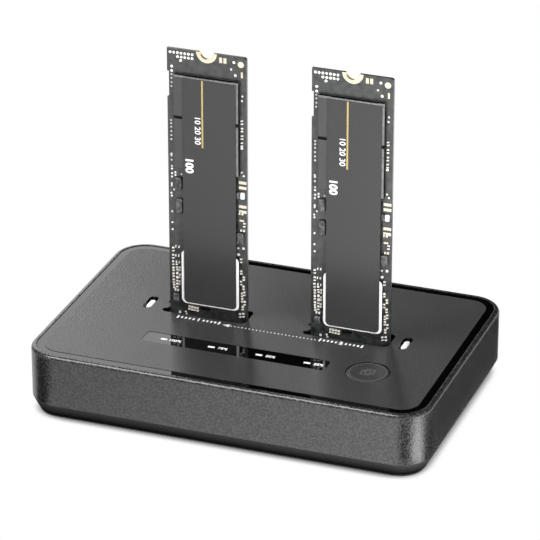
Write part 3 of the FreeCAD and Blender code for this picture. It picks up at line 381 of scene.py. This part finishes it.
# Zinc-plated steel of screws and the inlet pin: bright with a bluish cast
def zincSteel():
    made = newFinish("zinc-plated steel", "#b4b8bd", 0.32, {"Metallic": 1.0}, edge=0.05)
    dull(made, grain(made, size=0.4), 0.26, 0.40)
    return made["material"]


# Solder mask over copper: glossy black lacquer, mottled by the copper under it
def solderMask():
    made = newFinish("black solder mask", "#212222", 0.30, {"IOR": 1.6, "Specular IOR Level": 0.85})
    copper = grain(made, size=0.8, detail=5.0)
    tint(made, copper, "#191a1a", "#3a3d3a")
    relief(made, grain(made, size=0.35), height=0.02)
    return made["material"]


# Electroless gold over nickel: pale yellow and satin
def paleGold():
    made = newFinish("immersion gold", "#fcf3dc", 0.30, {"Metallic": 0.8})
    dull(made, grain(made, size=0.3), 0.24, 0.38)
    return made["material"]


# Transfer-moulded epoxy of the chips: very dark, with a fine matte skin drawn coarse to show
def mouldedEpoxy():
    made = newFinish("moulded epoxy", "#232325", 0.5, {"IOR": 1.55}, edge=0.1)
    skin = grain(made, size=0.12)
    tint(made, skin, "#1f1f21", "#29292b")
    relief(made, skin, height=0.006)
    return made["material"]


# Bead-blasted nickel lid over the controller. Its front faces are painted nearly white, a painted
# highlight, and its side faces painted black, a painted shade
def nickelLid():
    made = newFinish("bead-blasted nickel, painted light and shade", "#fbfbfb", 0.45, {"Metallic": 0.15}, edge=0.1)
    dull(made, grain(made, size=0.5), 0.40, 0.50)
    # Painted light and shade by facing: white towards the front, black on the sides
    facing = addNode(made["tree"], "ShaderNodeNewGeometry").outputs["Normal"]
    front = addNode(made["tree"], "ShaderNodeSeparateXYZ", None, {0: facing}).outputs["Y"]
    paintedLitShare = addNode(made["tree"], "ShaderNodeMath", {"operation": "MULTIPLY"}, {0: front, 1: -1.0})
    tint(made, paintedLitShare.outputs[0], "#101010", "#fbfbfb", start=0.5, end=0.6)
    return made["material"]


# Reflowed solder on part ends and test pads: frosted metal, painted nearly white, a painted glint
def brightSolder():
    # Painted highlight: a nearly white, mostly matt colour stands in for the metal's glints
    made = newFinish("reflowed solder, painted glint", "#fbfaf6", 0.38, {"Metallic": 0.2}, edge=0.08)
    dull(made, grain(made, size=0.2), 0.32, 0.44)
    return made["material"]


# Epoxy of the flash packages: a greyer filler, with the faces that look up painted paler as lit
def flashEpoxy():
    speckle = 0.1
    made = newFinish("grey moulded epoxy, painted top light", "#424243", 0.38, {"IOR": 1.55}, edge=0.45)
    skin = grain(made, size=0.16)
    relief(made, skin, height=0.01)
    facing = addNode(made["tree"], "ShaderNodeNewGeometry").outputs["Normal"]
    paintedTopLight = addNode(made["tree"], "ShaderNodeSeparateXYZ", None, {0: facing}).outputs["Z"]
    rough = addNode(made["tree"], "ShaderNodeMath", {"operation": "MULTIPLY_ADD"},
                    {0: skin, 1: speckle, 2: paintedTopLight}).outputs[0]
    # Painted light: the upward faces turn paler, as if lit from above
    tint(made, rough, "#424243", "#727273", start=0.0, end=0.9)
    return made["material"]


# The same epoxy painted paler: painted highlights on the lit edges of the flash packages
def rimEpoxy():
    made = newFinish("epoxy painted as edge highlight", "#747475", 0.38, {"IOR": 1.55}, edge=0.15)
    skin = grain(made, size=0.35)
    tint(made, skin, "#666667", "#868687")
    return made["material"]


# Near-black fill in the gaps between the packages: painted shade that takes nearly all light
def darkUnderfill():
    made = newFinish("black underfill", "#060606", 0.6, {"IOR": 1.5, "Specular IOR Level": 0.2})
    tint(made, grain(made, size=0.3), "#040404", "#090909")
    return made["material"]


# Ferrite and coated chips on the card: dark grey, mottled, with a waxy coat
def coatedFerrite():
    made = newFinish("coated ferrite", "#4b4b4c", 0.4, {"IOR": 1.55}, edge=0.3)
    tint(made, grain(made, size=0.5, detail=3.0), "#2c2c2d", "#6a6a6c")
    return made["material"]


# Satin polyester label: dark grey print with a slight sheen
def satinLabel():
    made = newFinish("satin polyester label", "#373738", 0.26, {"IOR": 1.55})
    paper = grain(made, size=0.18)
    tint(made, paper, "#343435", "#3a3a3b")
    relief(made, paper, height=0.004)
    return made["material"]


# Fired ceramic bodies of the capacitors: tan and slightly waxy
def firedCeramic():
    made = newFinish("fired ceramic", "#a58d6c", 0.4, {"IOR": 1.6})
    tint(made, grain(made, size=0.6), "#8f7a5c", "#b89d78")
    return made["material"]


# Clear epoxy of the light-emitting diodes
def clearEpoxy():
    made = newFinish("clear epoxy", "#f0efe6", 0.12, {"IOR": 1.52})
    dull(made, grain(made, size=0.5), 0.08, 0.16)
    return made["material"]


# Drawn aluminium of the capacitor cans: bare and bright, with no sleeve
def drawnCan():
    made = newFinish("drawn aluminium", "#cfd0d2", 0.3, {"Metallic": 1.0}, edge=0.3)
    dull(made, grain(made, size=0.6), 0.24, 0.36)
    return made["material"]


# Pressed ferrite powder of the inductors
def pressedFerrite():
    made = newFinish("pressed ferrite", "#4a4a4c", 0.6, {"IOR": 1.6}, edge=0.3)
    powder = grain(made, size=0.2)
    tint(made, powder, "#3f3f41", "#555557")
    relief(made, powder, height=0.01)
    return made["material"]


# Soft rubber of the feet: dead black and dull
def softRubber():
    made = newFinish("soft rubber", "#191919", 0.75, {"IOR": 1.52}, edge=0.2)
    skin = grain(made, size=0.3)
    relief(made, skin, height=0.01)
    return made["material"]


# Screen-printed ink: opaque and slightly raised
def screenInk(name, colour):
    made = newFinish(name, colour, 0.5, {"IOR": 1.5})
    speck = grain(made, size=0.15)
    dull(made, speck, 0.42, 0.6)
    return made["material"]


# Hot-stamped gold foil on the label
def stampedFoil():
    made = newFinish("stamped gold foil", "#d9c083", 0.30, {"Metallic": 0.75})
    dull(made, grain(made, size=0.4), 0.25, 0.36)
    return made["material"]


finishes = {
    "case_plastic": sparkAbs(),
    "cover_plastic": coverAbs(),
    "gloss_black": pianoAcrylic(),
    "film": velvetFilm(),
    "light_guide": milkyGuide(),
    "button_plastic": capAbs(),
    "pcb": solderMask(),
    "gold": paleGold(),
    "socket_plastic": filledNylon(),
    "inlet_plastic": filledNylon(),
    "tin": tinnedCopper(),
    "steel_shell": drawnSteel(),
    "zinc": zincSteel(),
    "chip": mouldedEpoxy(),
    "lid": nickelLid(),
    "label": satinLabel(),
    "ceramic": firedCeramic(),
    "led": clearEpoxy(),
    "can": drawnCan(),
    "coil": pressedFerrite(),
    "foot_rubber": softRubber(),
    "white_ink": screenInk("white screen ink", "#ffffff"),
    "grey_ink": screenInk("grey screen ink", "#686868"),
    "gold_foil": stampedFoil(),
    "solder": brightSolder(),
    "flash": flashEpoxy(),
    "underfill": darkUnderfill(),
    "rim": rimEpoxy(),
    "ferrite": coatedFerrite(),
}
for part in frame["record"]["subparts"]:
    mesh = nodes[part["node"]].data
    mesh.materials.clear()
    kind = "flash" if "_flash" in part["node"] else part["material_slot"]
    mesh.materials.append(finishes[kind])
print("finishes given to every node")


# Pieces made here: a mesh, its finish, and the body it rides on
def newPiece(name, mesh, finish, body):
    piece = bpy.data.objects.new(name, mesh)
    bpy.context.collection.objects.link(piece)
    if finish:
        mesh.materials.clear()
        mesh.materials.append(finish)
    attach(piece, body)
    return piece


def toMesh(name, joined):
    mesh = bpy.data.meshes.new(name)
    joined.to_mesh(mesh)
    joined.free()
    return mesh


# Words: each entry is text, cap height, middle, and turn about the print's normal
def printMesh(name, words, toSurface, thick, bold):
    half = 0.5               # the text is one unit thick until it is scaled
    joined = bmesh.new()
    for text, height, (across, up), turn in words:
        curve = bpy.data.curves.new("text", "FONT")
        curve.body = text
        curve.extrude = half
        curve.offset = bold
        holder = bpy.data.objects.new("text", curve)
        bpy.context.collection.objects.link(holder)
        graph = bpy.context.evaluated_depsgraph_get()
        flat = bpy.data.meshes.new_from_object(holder.evaluated_get(graph))
        bpy.data.objects.remove(holder)
        xs = [v.co.x for v in flat.vertices]
        ys = [v.co.y for v in flat.vertices]
        scale = height/(max(ys) - min(ys))
        centre = Matrix.Translation((-(max(xs) + min(xs))/2, -(max(ys) + min(ys))/2, half))
        size = Matrix.Diagonal((scale, scale, thick, 1))
        spin = Matrix.Rotation(turn, 4, "Z")
        flat.transform(toSurface @ Matrix.Translation((across, up, 0)) @ spin @ size @ centre)
        joined.from_mesh(flat)
    return toMesh(name, joined)


# A box that stands on a surface, its size given as width, height and thickness
def addBox(joined, toSurface, middle, size):
    made = bmesh.ops.create_cube(joined, size=1)
    place = Matrix.Translation((*middle, size[2]/2)) @ Matrix.Diagonal((*size, 1))
    bmesh.ops.transform(joined, matrix=toSurface @ place, verts=made["verts"])


# Flat bars and strokes: middle, width, height
def barsMesh(name, bars, toSurface, thick):
    joined = bmesh.new()
    for middle, width, height in bars:
        addBox(joined, toSurface, middle, (width, height, thick))
    return toMesh(name, joined)


def joinMeshes(name, meshes):
    joined = bmesh.new()
    for mesh in meshes:
        joined.from_mesh(mesh)
    return toMesh(name, joined)


# Geometry Nodes: a tree with named inputs, run once on a mesh of points
def newTree(name, inputs):
    tree = bpy.data.node_groups.new(name, "GeometryNodeTree")
    for way in ("INPUT", "OUTPUT"):
        tree.interface.new_socket("Geometry", in_out=way, socket_type="NodeSocketGeometry")
    for label, kind in inputs.items():
        tree.interface.new_socket(label, in_out="INPUT", socket_type="NodeSocket" + kind)
    given, result = tree.nodes.new("NodeGroupInput"), tree.nodes.new("NodeGroupOutput")
    return tree, given.outputs, result.inputs


def pointMesh(name, points):
    mesh = bpy.data.meshes.new(name)
    mesh.from_pydata([tuple(point) for point in points], [], [])
    return mesh


def grow(name, tree, mesh, values, body):
    holder = bpy.data.objects.new(name, mesh)
    bpy.context.collection.objects.link(holder)
    modifier = holder.modifiers.new("nodes", "NODES")
    modifier.node_group = tree
    for socket in tree.interface.items_tree:
        if socket.in_out == "INPUT" and socket.name in values:
            modifier[socket.identifier] = values[socket.name]
    graph = bpy.context.evaluated_depsgraph_get()
    done = bpy.data.meshes.new_from_object(holder.evaluated_get(graph))
    bpy.data.objects.remove(holder)
    return newPiece(name, done, None, body)


# Chip components on an upright card: a body between two soldered ends, turned as each point says
def chipTree():
    bodyShare, bodySlim, endShare, askewMost = 0.40, 0.92, 0.30, 0.06
    tree, given, result = newTree("chip components", {
        "Length": "Float", "Width": "Float", "Height": "Float", "Seed": "Int",
        "Body": "Material", "Ends": "Material"})
    size = addNode(tree, "ShaderNodeCombineXYZ", None,
                   {0: given["Length"], 1: given["Height"], 2: given["Width"]})
    core = addNode(tree, "GeometryNodeMeshCube", None, {"Size": size.outputs[0]})
    core = addNode(tree, "GeometryNodeTransform", None,
                   {"Geometry": core.outputs["Mesh"], "Scale": (bodyShare, bodySlim, bodySlim)})
    core = addNode(tree, "GeometryNodeSetMaterial", None,
                   {"Geometry": core.outputs[0], "Material": given["Body"]})
    pieces = [core.outputs[0]]
    for side in (-1, 1):
        away = addNode(tree, "ShaderNodeMath", {"operation": "MULTIPLY"},
                       {0: given["Length"], 1: side*(1 - endShare)/2})
        shift = addNode(tree, "ShaderNodeCombineXYZ", None, {0: away.outputs[0]})
        cap = addNode(tree, "GeometryNodeMeshCube", None, {"Size": size.outputs[0]})
        cap = addNode(tree, "GeometryNodeTransform", None,
                      {"Geometry": cap.outputs["Mesh"], "Translation": shift.outputs[0],
                       "Scale": (endShare, 1.0, 1.0)})
        pieces.append(addNode(tree, "GeometryNodeSetMaterial", None,
                              {"Geometry": cap.outputs[0], "Material": given["Ends"]}).outputs[0])
    whole = addNode(tree, "GeometryNodeJoinGeometry")
    for piece in pieces:
        tree.links.new(piece, whole.inputs[0])
    turned = addNode(tree, "GeometryNodeInputNamedAttribute", {"data_type": "FLOAT"},
                     {"Name": "turned"})
    # A fixed seed sets each part a little askew, as a placing machine does
    askew = addNode(tree, "FunctionNodeRandomValue", {"data_type": "FLOAT"},
                    {2: -askewMost, 3: askewMost, "Seed": given["Seed"]})
    angle = addNode(tree, "ShaderNodeMath", {"operation": "ADD"},
                    {0: turned.outputs["Attribute"], 1: askew.outputs[1]})
    spin = addNode(tree, "ShaderNodeCombineXYZ", None, {1: angle.outputs[0]})
    spots = addNode(tree, "GeometryNodeInstanceOnPoints", None,
                    {"Points": given["Geometry"], "Instance": whole.outputs[0],
                     "Rotation": spin.outputs[0]})
    real = addNode(tree, "GeometryNodeRealizeInstances", None, {"Geometry": spots.outputs[0]})
    tree.links.new(real.outputs[0], result[0])
    return tree


# Round pads: short discs that lie on the card's front face
def discTree():
    sides = 16
    tree, given, result = newTree("round pads", {
        "Radius": "Float", "Thick": "Float", "Finish": "Material"})
    disc = addNode(tree, "GeometryNodeMeshCylinder", None,
                   {"Vertices": sides, "Radius": given["Radius"], "Depth": given["Thick"]})
    disc = addNode(tree, "GeometryNodeTransform", None,
                   {"Geometry": disc.outputs["Mesh"], "Rotation": (math.pi/2, 0, 0)})
    spots = addNode(tree, "GeometryNodeInstanceOnPoints", None,
                    {"Points": given["Geometry"], "Instance": disc.outputs[0]})
    real = addNode(tree, "GeometryNodeRealizeInstances", None, {"Geometry": spots.outputs[0]})
    painted = addNode(tree, "GeometryNodeSetMaterial", None,
                      {"Geometry": real.outputs[0], "Material": given["Finish"]})
    tree.links.new(painted.outputs[0], result[0])
    return tree


# Panel prints: tick scales with the slot numbers, the arrow and the progress numbers. The sizes of
# these and of all later pieces are in millimetres.
panelPrint = {
    "thick": 0.02, "row": -3.25, "capHeight": 1.6, "bold": 0.035, "scaleMiddles": (-18.3, 21.6),
    "ticks": 5, "tickGap": 0.3, "tickPitch": 1.1, "tickWidth": 0.50, "shortTick": 0.6,
    "arrowTip": -11.3, "arrowLength": 1.9, "arrowHalf": 0.75, "arrowRow": -3.75,
    "dotFirst": -8.9, "dotPitch": 1.02, "dots": 24, "dotSize": 0.34,
    "numberShift": 3.2, "numberHeight": 1.2, "numberRow": -16.68,
    "bars": (("100%", -22.8), ("75%", -9.55), ("50%", 3.7), ("25%", 16.95)),
}


def arrowMesh(s):
    tip, tail, half = s["arrowTip"]*mm, (s["arrowTip"] + s["arrowLength"])*mm, s["arrowHalf"]*mm
    row, thick = s["arrowRow"]*mm, s["thick"]*mm
    corners = [(tip, row), (tail, row - half), (tail, row + half)]
    arrow = bpy.data.meshes.new("arrow")
    arrow.from_pydata([(x, y, z) for z in (0, thick) for x, y in corners], [],
                      [(2, 1, 0), (3, 4, 5), (0, 1, 4, 3), (1, 2, 5, 4), (2, 0, 3, 5)])
    return arrow


def makePanelPrints(s):
    thick = s["thick"]*mm
    film = Matrix.Translation((0, 0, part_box("panel_overlay")[1].z))
    bars = []
    words = []
    for number, middle in enumerate(s["scaleMiddles"], start=1):
        words.append((str(number), s["capHeight"]*mm, (middle*mm, s["row"]*mm), 0))
        for tick in range(1, s["ticks"] + 1):
            height = s["capHeight"] if tick == s["ticks"] else s["shortTick"]*s["capHeight"]
            for side in (-1, 1):
                across = middle + side*(s["tickGap"] + tick*s["tickPitch"])
                bars.append(((across*mm, s["row"]*mm), s["tickWidth"]*mm, height*mm))
    for dot in range(s["dots"]):
        across = s["dotFirst"] + dot*s["dotPitch"]
        bars.append(((across*mm, s["arrowRow"]*mm), s["dotSize"]*mm, s["dotSize"]*mm))
    arrow = arrowMesh(s)
    arrow.transform(film)
    mesh = joinMeshes("slot_legends", [printMesh("numbers", words, film, thick, s["bold"]),
                                       barsMesh("ticks", bars, film, thick), arrow])
    newPiece("slot_legends", mesh, finishes["white_ink"], "dock")
    gloss = Matrix.Translation((0, 0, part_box("gloss_panel")[1].z))
    words = [(text, s["numberHeight"]*mm, ((bar + s["numberShift"])*mm, s["numberRow"]*mm), 0)
             for text, bar in s["bars"]]
    mesh = printMesh("progress_numbers", words, gloss, thick, s["bold"])
    newPiece("progress_numbers", mesh, finishes["white_ink"], "dock")


makePanelPrints(panelPrint)
print("panel prints made")


# Copy button: a faint ring and a pair of overlapping sheets
buttonPrint = {
    "thick": 0.015, "ringRadius": 4.9, "ringWidth": 0.14, "ringSteps": 64,
    "sheet": 2.3, "shift": 0.9, "stroke": 0.24,
}


def ringMesh(s):
    steps = s["ringSteps"]
    turns = [2*math.pi*i/steps for i in range(steps)]
    joined = bmesh.new()
    rings = []
    for radius in (s["ringRadius"] - s["ringWidth"], s["ringRadius"]):
        for height in (0, s["thick"]):
            rings.append([joined.verts.new((radius*mm*math.cos(turn), radius*mm*math.sin(turn),
                                            height*mm)) for turn in turns])
    innerLow, innerHigh, outerLow, outerHigh = rings
    for i in range(steps):
        j = (i + 1) % steps
        joined.faces.new((innerHigh[i], outerHigh[i], outerHigh[j], innerHigh[j]))
        joined.faces.new((innerLow[j], outerLow[j], outerLow[i], innerLow[i]))
        joined.faces.new((outerLow[i], outerLow[j], outerHigh[j], outerHigh[i]))
        joined.faces.new((innerLow[j], innerLow[i], innerHigh[i], innerHigh[j]))
    return toMesh("ring", joined)


def makeButtonPrint(s):
    low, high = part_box("copy_button")
    middle = (low + high)/2
    cap = Matrix.Translation((middle.x, middle.y, high.z))
    ring = ringMesh(s)
    ring.transform(cap)
    half, line = s["sheet"]/2, s["stroke"]
    bars = []
    for centre in (-s["shift"]/2, s["shift"]/2):
        for side in (-1, 1):
            bars.append((((centre + side*half)*mm, centre*mm), line*mm, (s["sheet"] + line)*mm))
            bars.append(((centre*mm, (centre + side*half)*mm), (s["sheet"] - line)*mm, line*mm))
    mesh = joinMeshes("copy_button_print", [ring, barsMesh("icon", bars, cap, s["thick"]*mm)])
    newPiece("copy_button_print", mesh, finishes["grey_ink"], "copy_button")


makeButtonPrint(buttonPrint)
print("button print made")


# A drive's front face at this depth, measured from the middle of the card and its lower edge.
# The face is upright, so that the up of a print is the card's up.
def cardFace(body, depth):
    low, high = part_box(body + "_board")
    foot = Matrix.Translation(((low.x + high.x)/2, depth, low.z))
    return foot @ Matrix.Rotation(math.pi/2, 4, "X")


# Drive label prints. A number is its text, cap height, across, up, and how much it is emboldened.
labelPrint = {
    "thick": 0.015, "stripeX": -0.9, "stripeWidth": 0.46, "stripeLow": 53.6, "stripeHigh": 72.5,
    "numbers": (("10 20 30", 1.62, -2.2, 58.2, 0.01), ("100", 2.3, -4.6, 47.9, 0.045)),
}


def makeLabelPrints(body, s):
    thick = s["thick"]*mm
    face = cardFace(body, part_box(body + "_label")[0].y)
    low, high = s["stripeLow"], s["stripeHigh"]
    stripe = ((s["stripeX"]*mm, (low + high)/2*mm), s["stripeWidth"]*mm, (high - low)*mm)
    newPiece(body + "_label_stripe", barsMesh("stripe", [stripe], face, thick),
             finishes["gold_foil"], body)
    numbers = [printMesh("number", [(text, height*mm, (across*mm, up*mm), -math.pi/2)], face,
                         thick, bold)
               for text, height, across, up, bold in s["numbers"]]
    newPiece(body + "_label_numbers", joinMeshes("numbers", numbers), finishes["white_ink"], body)


# Small parts of a drive, placed across from the middle of the card and up from its lower edge
cardParts = {
    "holeRadius": 1.9, "plateThick": 0.06, "plateSteps": 24,
    # Rows of round pads: first across, pitch, count, up
    "dotRadius": 0.38, "dotThick": 0.06,
    "dotRows": ((-10.1, 1.02, 7, 78.95), (-8.02, 1.0, 5, 77.86)),
    "loneDots": ((-7.2, 76.9), (7.5, 78.4), (7.9, 74.85), (-9.7, 75.0), (-9.7, 73.75),
                 (-8.2, 4.4), (9.6, 54.7), (9.95, 26.05), (8.6, 24.1)),
    "smallRadius": 0.28,
    "smallDots": ((-9.75, 72.7), (-9.75, 71.7), (-9.75, 70.5), (-9.8, 69.4), (-10.0, 59.8),
                  (-10.0, 58.9), (-10.0, 57.9), (-10.0, 56.7), (-10.0, 55.5), (-10.0, 54.4),
                  (-10.0, 48.5), (-9.95, 46.8), (-9.95, 46.0), (-9.95, 44.7), (-10.0, 43.7),
                  (-9.4, 40.1), (-10.2, 39.0), (-10.1, 38.2), (-10.05, 33.7), (-10.05, 30.5),
                  (-10.0, 28.5), (-9.0, 45.1), (-9.0, 44.3), (-7.3, 44.8), (9.8, 69.3),
                  (9.7, 68.0), (9.6, 47.8), (10.1, 46.9), (8.5, 25.9), (-6.5, 4.8), (-6.3, 4.2),
                  (6.75, 76.35)),
    # Capacitors and resistors: across, up, and 1 for a part that lies across the card
    "length": 1.15, "width": 0.55, "height": 0.42, "seed": 1,
    "capacitors": ((-9.8, 17.0, 0), (-9.8, 15.3, 0), (-9.75, 13.5, 0), (-9.65, 12.0, 0),
                   (-7.95, 17.3, 0), (-8.0, 15.2, 0), (-8.1, 13.2, 0), (-8.9, 11.0, 1),
                   (9.6, 12.6, 0), (9.6, 11.0, 0), (9.75, 8.7, 0), (10.05, 17.4, 0),
                   (10.0, 14.7, 0), (9.35, 19.1, 0), (-5.4, 6.3, 0), (-4.65, 6.25, 0),
                   (-3.9, 6.2, 0), (-3.1, 6.15, 0), (9.4, 36.1, 1), (9.8, 31.3, 1)),
    "resistors": ((-9.85, 22.8, 0), (-9.85, 20.7, 0), (-9.9, 18.8, 0), (-8.65, 21.1, 1),
                  (-8.6, 23.7, 1), (-8.5, 19.2, 1), (-8.7, 16.6, 0), (-8.75, 14.2, 0),
                  (9.35, 22.5, 0), (9.3, 16.0, 0), (10.3, 10.2, 0), (9.9, 6.6, 0), (9.0, 6.4, 0),
                  (9.75, 62.1, 0), (9.75, 60.0, 0), (9.75, 57.9, 0), (9.7, 55.9, 0),
                  (10.2, 13.0, 0), (10.3, 33.0, 0), (-8.85, 18.1, 0), (-8.75, 15.4, 0),
                  (-8.8, 12.4, 0)),
    # Larger bodies by finish: slot, then middle across and up, width, height and thickness
    "bevel": 0.12, "bevelSteps": 2,
    "blocks": {
        "solder": ("tin", ((-9.95, 50.05, 0.66, 1.1, 0.3), (-10.0, 41.5, 0.5, 1.2, 0.3),
                           (9.85, 41.3, 1.1, 1.8, 0.72))),
        "gold": ("gold", ((9.7, 75.2, 0.62, 1.7, 0.12), (9.6, 34.1, 1.3, 0.5, 0.3))),
        "ferrite": ("chip", ((8.75, 41.3, 1.1, 1.8, 0.7), (-8.1, 42.1, 1.9, 3.5, 0.8),
                             (-7.9, 35.7, 1.9, 4.1, 0.8), (9.2, 29.0, 1.8, 3.2, 0.9),
                             (-9.05, 8.9, 1.7, 2.0, 0.7))),
        # Near-black bars in the gaps between parts: painted shade
        "underfill": ("chip", ((-0.8, 6.6, 2.7, 0.7, 0.35), (-7.75, 61.25, 2.5, 0.9, 0.96),
                               (8.65, 61.25, 0.7, 0.9, 0.96))),
        "chip": ("chip", ((3.9, 6.7, 5.4, 0.6, 0.35),)),
        # Pale bars on the upper flash's top edge and the packages' right edges: painted highlights
        "rim": ("chip", ((0.0, 72.9, 18.0, 0.6, 1.16), (8.63, 67.2, 0.74, 10.96, 1.03),
                         (8.63, 53.8, 0.74, 14.0, 1.03))),
    },
}


# Plated wall of the half hole: half a tube through the board, open upwards
def halfTube(middle, radius, thick, front, back, steps):
    tube = bmesh.new()
    rings = []
    for i in range(steps + 1):
        angle = math.pi*(1 + i/steps)
        x, z = math.cos(angle), math.sin(angle)
        rings.append([tube.verts.new((middle.x + r*x, y, middle.z + r*z))
                      for r, y in ((radius, front), (radius, back), (radius - thick, back),
                                   (radius - thick, front))])
    for one, other in zip(rings, rings[1:]):
        for k in range(4):
            tube.faces.new((one[k], one[(k + 1) % 4], other[(k + 1) % 4], other[k]))
    tube.faces.new(rings[0])
    tube.faces.new(rings[-1])
    bmesh.ops.recalc_face_normals(tube, faces=tube.faces[:])
    return toMesh("half tube", tube)


def makeCardParts(body, s):
    low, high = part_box(body + "_board")
    middle = (low.x + high.x)/2

    def spots(places, out):        # points on the board's face, raised by out
        return [(middle + across*mm, low.y - out*mm, low.z + up*mm) for across, up in places]

    plate = halfTube(Vector((middle, 0, high.z)), s["holeRadius"]*mm, s["plateThick"]*mm,
                     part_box(body + "_hole_pad")[0].y, high.y, s["plateSteps"])
    newPiece(body + "_hole_plating", plate, finishes["gold_foil"], body)
    dots = [(first + i*pitch, up) for first, pitch, count, up in s["dotRows"] for i in range(count)]
    for kind, radius, places in (("_test_pads", s["dotRadius"], dots + list(s["loneDots"])),
                                 ("_small_pads", s["smallRadius"], s["smallDots"])):
        grow(body + kind, padTree, pointMesh("pads", spots(places, s["dotThick"]/2)),
             {"Radius": radius*mm, "Thick": s["dotThick"]*mm, "Finish": finishes["solder"]},
             body)
    size = {"Length": s["length"]*mm, "Width": s["width"]*mm, "Height": s["height"]*mm,
            "Seed": s["seed"], "Ends": finishes["solder"]}
    for kind, finish in (("capacitors", "ceramic"), ("resistors", "chip")):
        mesh = pointMesh(kind, spots([(across, up) for across, up, _ in s[kind]], s["height"]/2))
        turned = mesh.attributes.new("turned", "FLOAT", "POINT")
        turned.data.foreach_set("value", [0.0 if lies else math.pi/2 for _, _, lies in s[kind]])
        made = grow(body + "_chip_" + kind, partTree, mesh, dict(size, Body=finishes[finish]),
                    body)
        if kind == "capacitors":
            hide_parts(body + "_capacitors")
    face = cardFace(body, low.y)
    for finish, (slot, rows) in s["blocks"].items():
        joined = bmesh.new()
        for across, up, width, height, thick in rows:
            addBox(joined, face, (across*mm, up*mm), (width*mm, height*mm, thick*mm))
        bmesh.ops.bevel(joined, geom=joined.edges[:], offset=s["bevel"]*mm,
                        segments=s["bevelSteps"], affect="EDGES", clamp_overlap=True)
        newPiece(body + "_" + finish + "_parts", toMesh("blocks", joined), finishes[finish], body)


partTree = chipTree()
padTree = discTree()
for body in ("drive_1", "drive_2"):
    makeLabelPrints(body, labelPrint)
    makeCardParts(body, cardParts)
print("drive details made")

view = bpy.context.scene.view_settings
view.view_transform = "Standard"
